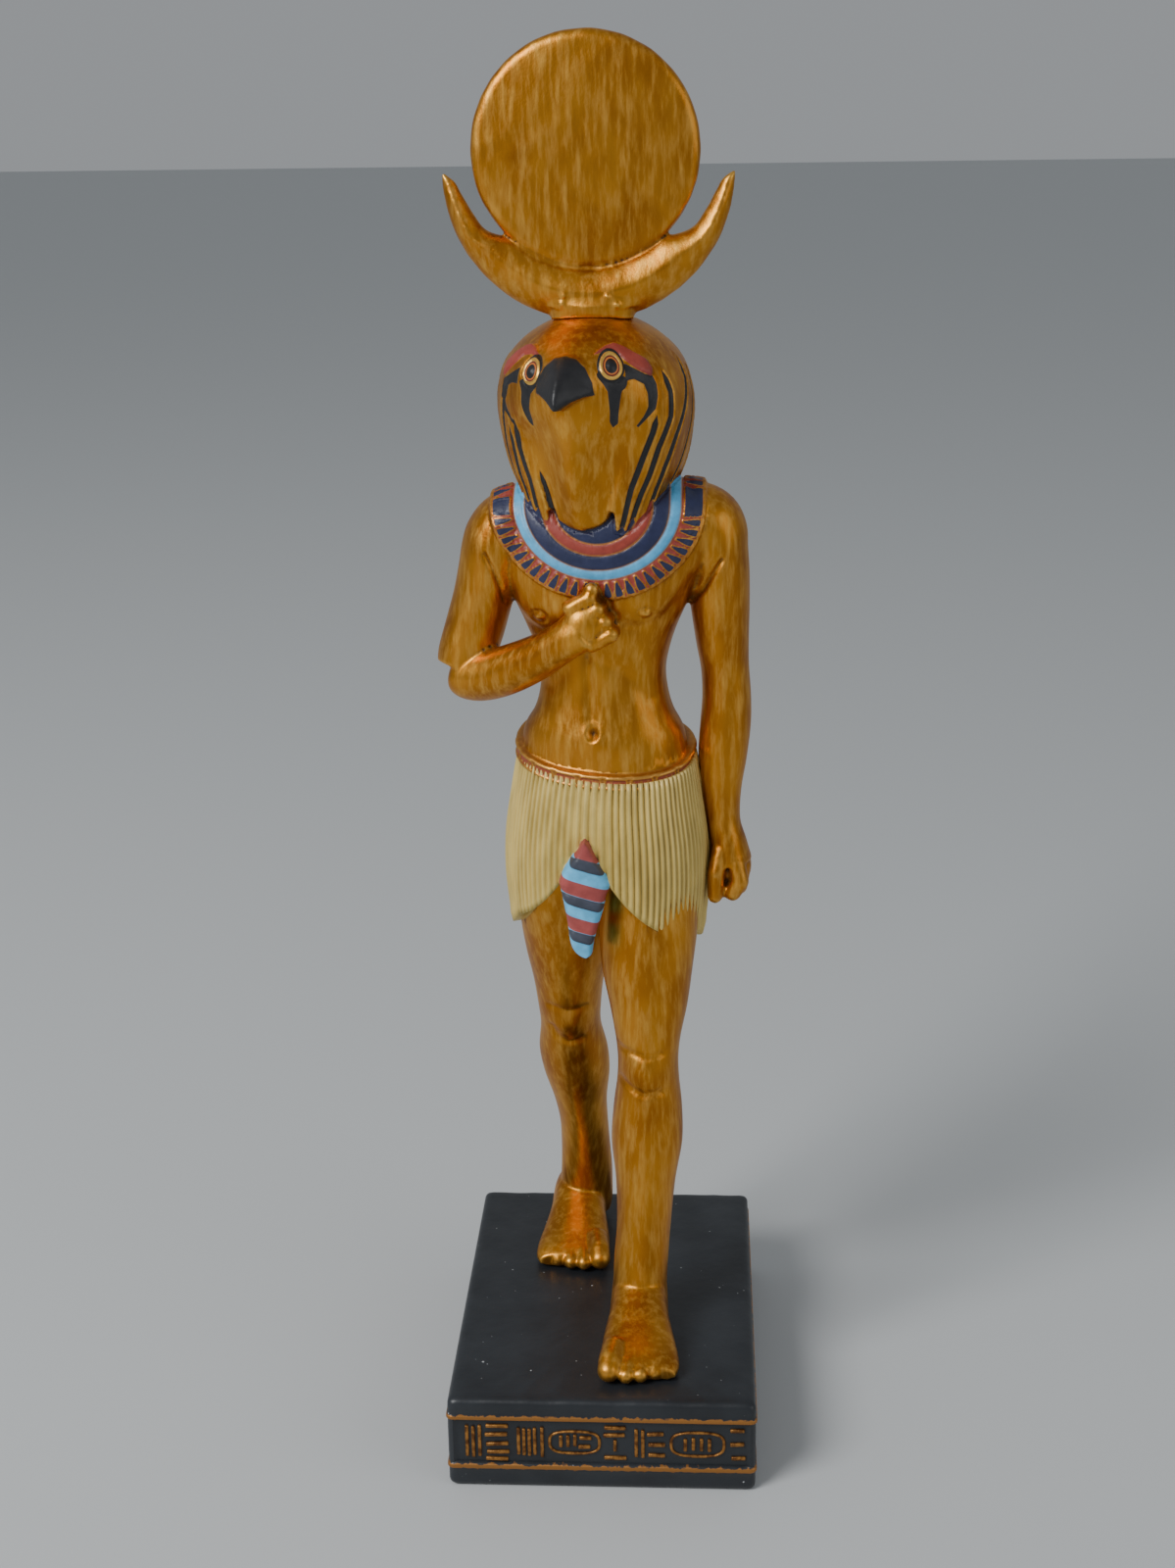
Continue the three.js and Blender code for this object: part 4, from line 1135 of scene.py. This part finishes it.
height += 0.05 * np.sin(x * 0.9 + np.sin(z * 0.31) * 2) * np.sin(z * 0.7 + x * 0.2)
for nub in ((-6.8, 245), (1.9, 244.9), (-7.2, 243.6), (3.8, 243.2)):
    height += 0.5 * bulge(x, z, nub, (0.55, 0.55)) * (y < MOON_Y)
moved = points + normals * height[:, None]
headdress.data.vertices.foreach_set("co", (moved * MM).astype(np.float32).ravel())
modify(headdress, "DECIMATE", ratio=0.3, use_collapse_triangulate=True)
settle(headdress)
store(headdress.data, "hollow", hollows(headdress.data))
print("headdress:", len(headdress.data.polygons), "triangles")

# %% [markdown]
# ## The base
# The base is a plain block with softened, slightly uneven edges. Two gilt lines run round it, and between them
# the front is sunk a little to carry raised gilt marks. They are plain strokes here, not writing.

# %% Block with lines and a sunk band
BASE_HALF_X, BASE_HALF_Y = 32.7, 44.7
BASE_PROFILE = [
    (0, 16), (0, 2.2), (0.02, 1.3), (0.35, 0.5), (0.9, 0.12), (1.6, 0), (3, 0), (4.55, 0), (4.75, -0.22),
    (5, -0.28), (5.4, -0.28), (5.65, -0.22), (5.85, 0), (6.1, 0.02), (8.5, 0), (11, 0), (14, 0), (16.4, 0.02),
    (16.6, 0), (16.8, -0.22), (17, -0.28), (17.4, -0.28), (17.6, -0.22), (17.8, 0), (19, 0), (20.3, 0.06),
    (21, 0.4), (21.4, 1), (21.58, 1.9), (21.6, 3.2), (21.6, 8), (21.6, 16), (21.6, 24), (21.6, 31),
]
BAND_LOW, BAND_HIGH, BAND_DEPTH, BAND_INSET = 5.9, 16.5, 0.6, 1.6
CORNER = 1.3


def base_shape(angle, share):
    z, inset = np.array(BASE_PROFILE, float)[np.rint(share * (len(BASE_PROFILE) - 1)).astype(int)].T
    long_x, long_y = BASE_HALF_X - CORNER, BASE_HALF_Y - CORNER
    arc = math.pi / 2 * CORNER
    total = 4 * (long_x + long_y + arc)
    run = (angle / (2 * np.pi) * total + long_x) % total
    x, y = np.zeros(len(run)), np.zeros(len(run))
    sides = [(0, -1, 2 * long_x), (1, 0, 2 * long_y), (0, 1, 2 * long_x), (-1, 0, 2 * long_y)]
    start = 0
    for nx, ny, length in sides:
        reach_out = BASE_HALF_Y if nx == 0 else BASE_HALF_X
        reach_side = (long_x if nx == 0 else long_y)
        on = (run >= start) & (run <= start + length)
        along = -reach_side + run - start
        x = np.where(on, nx * reach_out - ny * along, x)
        y = np.where(on, ny * reach_out + nx * along, y)
        bend = (run > start + length) & (run < start + length + arc)
        turn = (run - start - length) / CORNER
        out, over = np.cos(turn) * CORNER, np.sin(turn) * CORNER
        far, up = reach_out - CORNER + out, reach_side + over
        x = np.where(bend, nx * far - ny * up, x)
        y = np.where(bend, ny * far + nx * up, y)
        start += length + arc
    scale_x = (BASE_HALF_X - inset) / BASE_HALF_X
    scale_y = (BASE_HALF_Y - inset) / BASE_HALF_Y
    in_band = (y < -BASE_HALF_Y + 0.01) & (np.abs(x) < BASE_HALF_X - BAND_INSET) & (z > BAND_LOW) & (z < BAND_HIGH)
    x, y = x * scale_x, y * scale_y + BAND_DEPTH * in_band
    wave = 0.09 * np.sin(x * 0.23 + 1) * np.sin(y * 0.17) + 0.05 * np.sin(x * 0.61 + y * 0.37)
    z = z - np.where(z > 19, np.abs(wave) + 0.04, 0)
    return np.stack([x, y, z], 1)


base_form = tube(base_shape, 400, len(BASE_PROFILE) - 1)
print("base block:", len(base_form.faces), "faces")

# %% [markdown]
# ## Raised marks in the band
# Every mark is a small bevelled bar on the band's floor, in groups of uprights and levels, with two plain oval
# rings among them. The row fills the same places as the cast decoration without copying any sign.

# %% Bars and rings
marks = []
BAND_MIDDLE = (BAND_LOW + BAND_HIGH) / 2
BAND_FLOOR = -BASE_HALF_Y + BAND_DEPTH


def bar(x, z, wide, high, turn=0.0):
    form = bmesh.new()
    matrix = Matrix.LocRotScale(
        Vector((x, BAND_FLOOR - 0.05, z)) * MM, Euler((0, turn, 0)), Vector((wide, 0.9, high)) * MM
    )
    bmesh.ops.create_cube(form, size=1, matrix=matrix)
    bmesh.ops.bevel(
        form, geom=form.edges[:], offset=0.2 * MM, affect="EDGES", segments=2, profile=0.5, material=-1
    )
    marks.append(form)


def oval(x, half_wide, half_high):
    def shape(angle, share):
        turn = 2 * np.pi * share
        across, up = section(turn, half_wide, half_high, half_high, 3)
        ring = 0.34
        out = np.hypot(across, up)
        across = across * (1 + ring * np.cos(angle) / out)
        up = up * (1 + ring * np.cos(angle) / out)
        return np.stack([x + across, BAND_FLOOR - 0.1 + 0.36 * np.sin(angle), BAND_MIDDLE + up], 1)

    marks.append(tube(shape, 10, 72))


def uprights(x, count, pitch, high=7.2, z=BAND_MIDDLE):
    for i in range(count):
        bar(x + i * pitch, z + 0.15 * math.sin(i * 2.1 + x), 0.75, high)


def levels_at(x, wide, heights):
    for i, z in enumerate(heights):
        bar(x + 0.2 * math.sin(i * 1.7 + x), z, wide, 0.8, 0.05 * math.sin(i + x))


uprights(-28.6, 3, 1.35, 7.6)
levels_at(-22.2, 4.8, (15, 12.9, 10.6, 8.6, 6.9))
uprights(-17.6, 4, 1.15, 6.6)
uprights(-12.6, 1, 1, 7.4)
oval(-5.7, 5.3, 2.7)
uprights(-8.6, 3, 1.5, 2.8, 11.6)
levels_at(-3.4, 2.6, (12.4, 10.2))
levels_at(2.9, 4.6, (15, 13.2))
uprights(2.9, 1, 1, 2.8, 10.6)
levels_at(2.9, 4.8, (7.6,))
uprights(7.4, 2, 1.4, 6.8)
levels_at(11.6, 3.6, (13.6, 11, 8.4))
oval(20.4, 5.6, 2.9)
uprights(17.8, 4, 1.7, 3)
levels_at(28.9, 3, (14.8, 11.4, 8))
marks_form = joined(marks)
for face in marks_form.faces:
    face.material_index = 1
base = place(joined([base_form, marks_form]), "base")
print("base:", len(base.data.polygons), "faces,", len(marks), "raised marks")

# %% [markdown]
# ## How materials are made
# Colours are written as screen hex values and turned linear by one function. A second function adds a node,
# sets it and links it, and a third lays one colour over another where a stored distance is above zero.

# %% Node helpers
def linear(colour):
    channels = [int(colour[i : i + 2], 16) / 255 for i in (0, 2, 4)]
    return tuple(c / 12.92 if c <= 0.04045 else ((c + 0.055) / 1.055) ** 2.4 for c in channels) + (1.0,)


def add(tree, kind, inputs=None, **settings):
    node = tree.nodes.new(kind)
    for key, value in settings.items():
        setattr(node, key, value)
    for socket, value in (inputs or {}).items():
        if isinstance(value, bpy.types.NodeSocket):
            tree.links.new(value, node.inputs[socket])
        else:
            node.inputs[socket].default_value = value
    return node


def stored(tree, name):
    return add(tree, "ShaderNodeAttribute", attribute_name=name).outputs["Fac"]


def spread(tree, value, low, high, to_low=0.0, to_high=1.0):
    ends = {"Value": value, "From Min": low, "From Max": high, "To Min": to_low, "To Max": to_high}
    return add(tree, "ShaderNodeMapRange", ends).outputs[0]


def combine(tree, operation, first, second):
    return add(tree, "ShaderNodeMath", {0: first, 1: second}, operation=operation).outputs[0]


def over(tree, cover, under, top):
    return add(tree, "ShaderNodeMix", {0: cover, 6: under, 7: top}, data_type="RGBA").outputs[2]


def blend(tree, cover, under, top):
    return add(tree, "ShaderNodeMix", {0: cover, 2: under, 3: top}).outputs[0]


def noise(tree, size_mm, stretch=(1, 1, 1), detail=3.0, roughness=0.55):
    place_node = add(tree, "ShaderNodeTexCoord")
    scaled = add(tree, "ShaderNodeMapping", {"Vector": place_node.outputs["Object"], "Scale": stretch})
    wanted = {"Vector": scaled.outputs[0], "Scale": 1 / (size_mm * MM), "Detail": detail, "Roughness": roughness}
    return add(tree, "ShaderNodeTexNoise", wanted).outputs[0]


BORDER = 0.05
print("gold is", [round(c, 3) for c in linear("D9982F")])


def edge_of(tree, name, at=0.0):
    return spread(tree, stored(tree, name), at - BORDER, at + BORDER)


# %% [markdown]
# ## Antique gold paint
# The gold is bronze powder in varnish, brushed over dark resin. It shines like metal but softly, the brush
# leaves fine streaks that run along the body, and a brown wash stays in every hollow. So the colour falls from
# a painted highlight of bright gold on edges to brown in the carving, and the roughness wanders with the brush.

# %% Gold
GOLD_BRIGHT_AND_HIGHLIGHT, GOLD, GOLD_DEEP, WASH = linear("F2BE5C"), linear("D08E30"), linear("A8651C"), linear("3C2410")


def gold_layers(tree):
    streak = noise(tree, 1.3, (1, 1, 0.16), 5, 0.62)
    patches = noise(tree, 9, (1, 1, 0.6), 2)
    grain = noise(tree, 0.5, (1, 1, 0.7), 2)
    colour = over(tree, spread(tree, patches, 0.3, 0.7), GOLD, GOLD_DEEP)
    colour = over(tree, spread(tree, streak, 0.45, 0.75, 0, 0.6), colour, GOLD_BRIGHT_AND_HIGHLIGHT)
    hollow = stored(tree, "hollow")
    uneven = combine(tree, "ADD", hollow, spread(tree, grain, 0.3, 0.7, -0.05, 0.05))
    wash = spread(tree, uneven, 0.1, 0.55, 0, 0.92)
    # painted highlight: convex edges are lightened towards bright gold, up to 0.7
    colour = over(tree, spread(tree, uneven, -0.12, -0.5, 0, 0.7), colour, GOLD_BRIGHT_AND_HIGHLIGHT)
    colour = over(tree, wash, colour, WASH)
    metal = spread(tree, wash, 0, 1, 0.94, 0.5)
    rough = spread(tree, streak, 0.35, 0.7, 0.34, 0.46)
    rough = blend(tree, wash, rough, 0.6)
    bump_height = combine(tree, "ADD", spread(tree, streak, 0, 1, 0, 0.05), spread(tree, grain, 0, 1, 0, 0.03))
    return colour, metal, rough, bump_height


def finish_material(name, colour, metal, rough, bump_height, coat=0.0):
    tree = materials[name].node_tree
    shader = tree.nodes["Principled BSDF"]
    for socket, value in (("Base Color", colour), ("Metallic", metal), ("Roughness", rough)):
        if isinstance(value, bpy.types.NodeSocket):
            tree.links.new(value, shader.inputs[socket])
        else:
            shader.inputs[socket].default_value = value
    shader.inputs["Coat Weight"].default_value = coat
    bump = add(tree, "ShaderNodeBump", {"Height": bump_height, "Distance": MM, "Strength": 1.0})
    tree.links.new(bump.outputs[0], shader.inputs["Normal"])


material("antique_gold_headdress")
tree = materials["antique_gold_headdress"].node_tree
finish_material("antique_gold_headdress", *gold_layers(tree))
headdress.data.materials.clear()
headdress.data.materials.append(materials["antique_gold_headdress"])
print("gold laid on the headdress")

# %% [markdown]
# ## Enamel on the head and the collar
# The matt colours lie on top of the gold, and gold shows again where a raised line was rubbed clean. The rings
# of the collar come from the stored distance to the neck, one colour after the other outwards.

# %% Enamel colours over the body's gold
BLACK, RED_BROWN, NAVY, SKY = linear("17171A"), linear("8A3428"), linear("1E2444"), linear("4F9FCB")
EYE_RED, EYE_ORANGE = linear("5E1C14"), linear("C8702A")
tree = materials["antique_gold_paint"].node_tree
gold_colour, metal, rough, bump_height = gold_layers(tree)
patch = noise(tree, 2.2, detail=3)


def shaded(tree, colour):
    lighter = tuple(min(1, c * 1.35 + 0.004) for c in colour[:3]) + (1.0,)
    return over(tree, spread(tree, patch, 0.35, 0.7), colour, lighter)


ring = stored(tree, "ring")
drop_inside = stored(tree, "drop")
bands = shaded(tree, NAVY)
for radius, paint in zip(COLLAR_RINGS, (RED_BROWN, NAVY, SKY, RED_BROWN)):
    bands = over(tree, spread(tree, ring, radius - BORDER, radius + BORDER), bands, shaded(tree, paint))
in_row = spread(tree, ring, COLLAR_RINGS[3] - BORDER, COLLAR_RINGS[3] + BORDER)
bead = combine(tree, "MULTIPLY", spread(tree, drop_inside, -BORDER, BORDER), in_row)
bands = over(tree, bead, bands, shaded(tree, NAVY))
outline = combine(tree, "MULTIPLY", spread(tree, drop_inside, -0.3, -0.22), in_row)
outline = combine(tree, "SUBTRACT", outline, bead)
for radius in COLLAR_RINGS:
    away = combine(tree, "ABSOLUTE", combine(tree, "SUBTRACT", ring, radius), 0)
    outline = combine(tree, "MAXIMUM", outline, spread(tree, away, 0.26, 0.18, 0, 0.5))
outline = combine(tree, "MAXIMUM", outline, spread(tree, ring, 21.6, 21.85))
collar_paint = combine(tree, "SUBTRACT", edge_of(tree, "collar"), combine(tree, "MULTIPLY", outline, 0.85))
collar_paint = combine(tree, "MAXIMUM", collar_paint, 0)

eye_inside = stored(tree, "eye")
colour = over(tree, collar_paint, gold_colour, bands)
cover = collar_paint
for name, paint in (("stripes", BLACK), ("brow", RED_BROWN), ("beak", BLACK)):
    mask = edge_of(tree, name)
    colour = over(tree, mask, colour, shaded(tree, paint))
    cover = combine(tree, "MAXIMUM", cover, mask)
around_eye = spread(tree, eye_inside, -0.5, -0.4)
colour = over(tree, around_eye, colour, BLACK)
gold_ring = spread(tree, eye_inside, -BORDER, BORDER)
colour = over(tree, gold_ring, colour, GOLD_BRIGHT_AND_HIGHLIGHT)
cover = combine(tree, "MAXIMUM", cover, around_eye)
cover = combine(tree, "SUBTRACT", cover, gold_ring)
for inside, paint in ((0.55, EYE_RED), (0.82, EYE_ORANGE), (1.02, BLACK)):
    mask = spread(tree, eye_inside, inside - BORDER, inside + BORDER)
    colour = over(tree, mask, colour, paint)
    cover = combine(tree, "MAXIMUM", cover, mask)
cover = combine(tree, "MAXIMUM", cover, 0)
metal = blend(tree, cover, metal, 0.0)
rough = blend(tree, cover, rough, 0.42)
finish_material("antique_gold_paint", colour, metal, rough, bump_height)
print("enamel colours laid on the figure")

# %% [markdown]
# ## Kilt, belt and tab
# The kilt is thin cream enamel over gold, with a painted highlight of pale yellow on the ridges and olive in
# the grooves. The belt's links are copper red in gilt frames. The tab's bars alternate red, slate and light
# blue down its length.

# %% Kilt, belt and tab
tree = materials["pleated_cream_enamel"].node_tree
hollow = stored(tree, "hollow")
mottle = noise(tree, 3, (1, 1, 0.3), 4)
CREAM, CREAM_DULL, GROOVE = linear("DCC06A"), linear("B59A4E"), linear("5E4A22")
colour = over(tree, spread(tree, mottle, 0.35, 0.7), CREAM, CREAM_DULL)
# painted highlight: the convex pleat ridges are lightened to pale yellow, up to 0.7
colour = over(tree, spread(tree, hollow, -0.1, -0.7, 0, 0.7), colour, linear("EBD58C"))
colour = over(tree, spread(tree, hollow, 0.15, 0.8, 0, 0.9), colour, GROOVE)
fine_grain = spread(tree, noise(tree, 0.6, (1, 1, 0.4), 3), 0, 1, 0, 0.05)
finish_material("pleated_cream_enamel", colour, 0.15, 0.46, fine_grain)

tree = materials["belt_enamel_and_gilt"].node_tree
COPPER_RED = linear("9C4A30")
gilt_colour, metal, rough, bump_height = gold_layers(tree)
gilt_colour = over(tree, 0.4, gilt_colour, linear("C08048"))
link_mask = combine(tree, "MULTIPLY", edge_of(tree, "link"), spread(tree, noise(tree, 1.2), 0.42, 0.5, 0.45, 1))
colour = over(tree, link_mask, gilt_colour, COPPER_RED)
metal = blend(tree, link_mask, metal, 0.35)
finish_material("belt_enamel_and_gilt", colour, metal, rough, bump_height)

tree = materials["striped_tab_enamel"].node_tree
TAB_RED, TAB_BLUE, SLATE = linear("9A4440"), linear("5FB4DF"), linear("3A3F4C")
spot = add(tree, "ShaderNodeSeparateXYZ", {0: add(tree, "ShaderNodeTexCoord").outputs["Object"]})
level = combine(tree, "ADD", spot.outputs["Z"], combine(tree, "MULTIPLY", spot.outputs["X"], TAB_SLANT))
level = combine(tree, "ADD", level, -FLAPS_MEET_X * TAB_SLANT * MM)
patch = noise(tree, 2.5, detail=3)
colour = shaded(tree, TAB_BLUE)
for low, high in ((130.6, 140), (122.3, 125.4), (114.4, 117.4)):
    inside_bar = combine(
        tree, "MULTIPLY", spread(tree, level, (low - 0.05) * MM, (low + 0.05) * MM),
        spread(tree, level, (high + 0.05) * MM, (high - 0.05) * MM),
    )
    colour = over(tree, inside_bar, colour, shaded(tree, TAB_RED))
colour = over(tree, edge_of(tree, "bars"), colour, shaded(tree, SLATE))
finish_material("striped_tab_enamel", colour, 0.0, 0.5, spread(tree, patch, 0, 1, 0, 0.08))
print("materials:", sorted(materials))

# %% [markdown]
# ## The base's satin black and gilt
# Black enamel has a satin gloss and picks up dust. The gilt on the two lines was wiped on with a nearly dry
# brush, so it breaks up along its edges.

# %% Base materials
material("satin_black_enamel")
tree = materials["satin_black_enamel"].node_tree
cloud = noise(tree, 14, detail=4)
colour = over(tree, spread(tree, cloud, 0.3, 0.75), linear("1B1E22"), linear("2A2E33"))
spot = add(tree, "ShaderNodeSeparateXYZ", {0: add(tree, "ShaderNodeTexCoord").outputs["Object"]})
ragged = spread(tree, noise(tree, 1.6, detail=4), 0.3, 0.7, -0.35, 0.35)
gilt = 0.0
for line in (5.2, 17.2):
    away = combine(tree, "ABSOLUTE", combine(tree, "SUBTRACT", spot.outputs["Z"], line * MM), 0)
    away = combine(tree, "ADD", combine(tree, "MULTIPLY", away, 1000), ragged)
    gilt = combine(tree, "MAXIMUM", spread(tree, away, 0.62, 0.45), gilt)
GILT = linear("A8723A")
colour = over(tree, gilt, colour, GILT)
specks = spread(tree, noise(tree, 1.1, detail=1), 0.79, 0.82, 0, 0.8)
colour = over(tree, specks, colour, linear("C8CCCE"))
finish_material(
    "satin_black_enamel", colour, blend(tree, gilt, 0.0, 0.75), blend(tree, gilt, 0.38, 0.45),
    spread(tree, noise(tree, 4, detail=5), 0, 1, 0, 0.12),
)
material("gilt_marks")
tree = materials["gilt_marks"].node_tree
wear = spread(tree, noise(tree, 1.4, detail=4), 0.4, 0.62)
colour = over(tree, wear, linear("B07A3C"), linear("6A4220"))
finish_material("gilt_marks", colour, 0.75, 0.42, spread(tree, noise(tree, 0.6), 0, 1, 0, 0.08))
base.data.materials.append(materials["satin_black_enamel"])
base.data.materials.append(materials["gilt_marks"])
print("base painted")

# %% [markdown]
# ## Hand the pieces over
# The three pieces take the places of the three CAD solids and move with the one rigid body. Shading is smooth,
# and on the base it stays crisp where the surface turns sharply.

# %% Replace the CAD solids
pieces = {"figure": (figure, "gold_paint"), "headdress": (headdress, "gold_paint"), "base": (base, "black_paint")}
for name, (piece, slot) in pieces.items():
    piece.name = name + "_finished"
    piece.data.polygons.foreach_set("use_smooth", [True] * len(piece.data.polygons))
    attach(piece, "root")
    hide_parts(name)
base.data.set_sharp_from_angle(angle=math.radians(50))
print("pieces:", {name: len(piece.data.polygons) for name, (piece, _) in pieces.items()})

# %% [markdown]
# ## Floor, light and camera
# A pale floor, one broad soft light high on the left in front, and a weak one opposite suit metal paint: the
# broad light gives the gold long soft highlights and leaves its right side dark. The camera stands where the
# photographer's did, looking down a little.

# %% Studio
floor_form = bmesh.new()
bmesh.ops.create_grid(floor_form, x_segments=1, y_segments=1, size=6)
floor = place(floor_form, "floor")
material("pale_paper_floor")
tree = materials["pale_paper_floor"].node_tree
shader = tree.nodes["Principled BSDF"]
shader.inputs["Base Color"].default_value = linear("C9CCCD")
shader.inputs["Roughness"].default_value = 0.8
floor.data.materials.append(materials["pale_paper_floor"])

world = bpy.data.worlds.new("pale_room")
world.use_nodes = True
world.node_tree.nodes["Background"].inputs["Color"].default_value = linear("C4C8CC")
world.node_tree.nodes["Background"].inputs["Strength"].default_value = 0.55
bpy.context.scene.world = world


def soft_light(name, at, target, size, watts):
    data = bpy.data.lights.new(name, "AREA")
    data.shape, data.size, data.energy = "DISK", size, watts
    light = bpy.data.objects.new(name, data)
    light.location = at
    light.rotation_euler = (Vector(target) - Vector(at)).to_track_quat("-Z", "Y").to_euler()
    bpy.context.scene.collection.objects.link(light)


soft_light("key", (-0.75, -0.7, 0.95), (0, 0, 0.15), 0.6, 14)
soft_light("fill", (0.9, -0.5, 0.5), (0, 0, 0.15), 0.8, 1.5)

YAW, PITCH, ROLL = math.radians(-3.073), math.radians(18.592), math.radians(-0.814)
ahead = Vector((math.sin(YAW) * math.cos(PITCH), math.cos(YAW) * math.cos(PITCH), -math.sin(PITCH)))
right = Vector((math.cos(YAW), -math.sin(YAW), 0))
up = right.cross(ahead)
tilted_right = right * math.cos(ROLL) + up * math.sin(ROLL)
tilted_up = up * math.cos(ROLL) - right * math.sin(ROLL)
camera_data = bpy.data.cameras.new("photo_view")
camera_data.sensor_fit, camera_data.sensor_height, camera_data.lens = "VERTICAL", 36, 49.5
camera = bpy.data.objects.new("photo_view", camera_data)
turn = Matrix((tilted_right, tilted_up, -ahead)).transposed().to_4x4()
camera.matrix_world = Matrix.Translation(Vector((19.9, -432.6, 289.5)) * MM) @ turn
bpy.context.scene.collection.objects.link(camera)
bpy.context.scene.camera = camera
print("camera at", [round(v, 3) for v in camera.location])
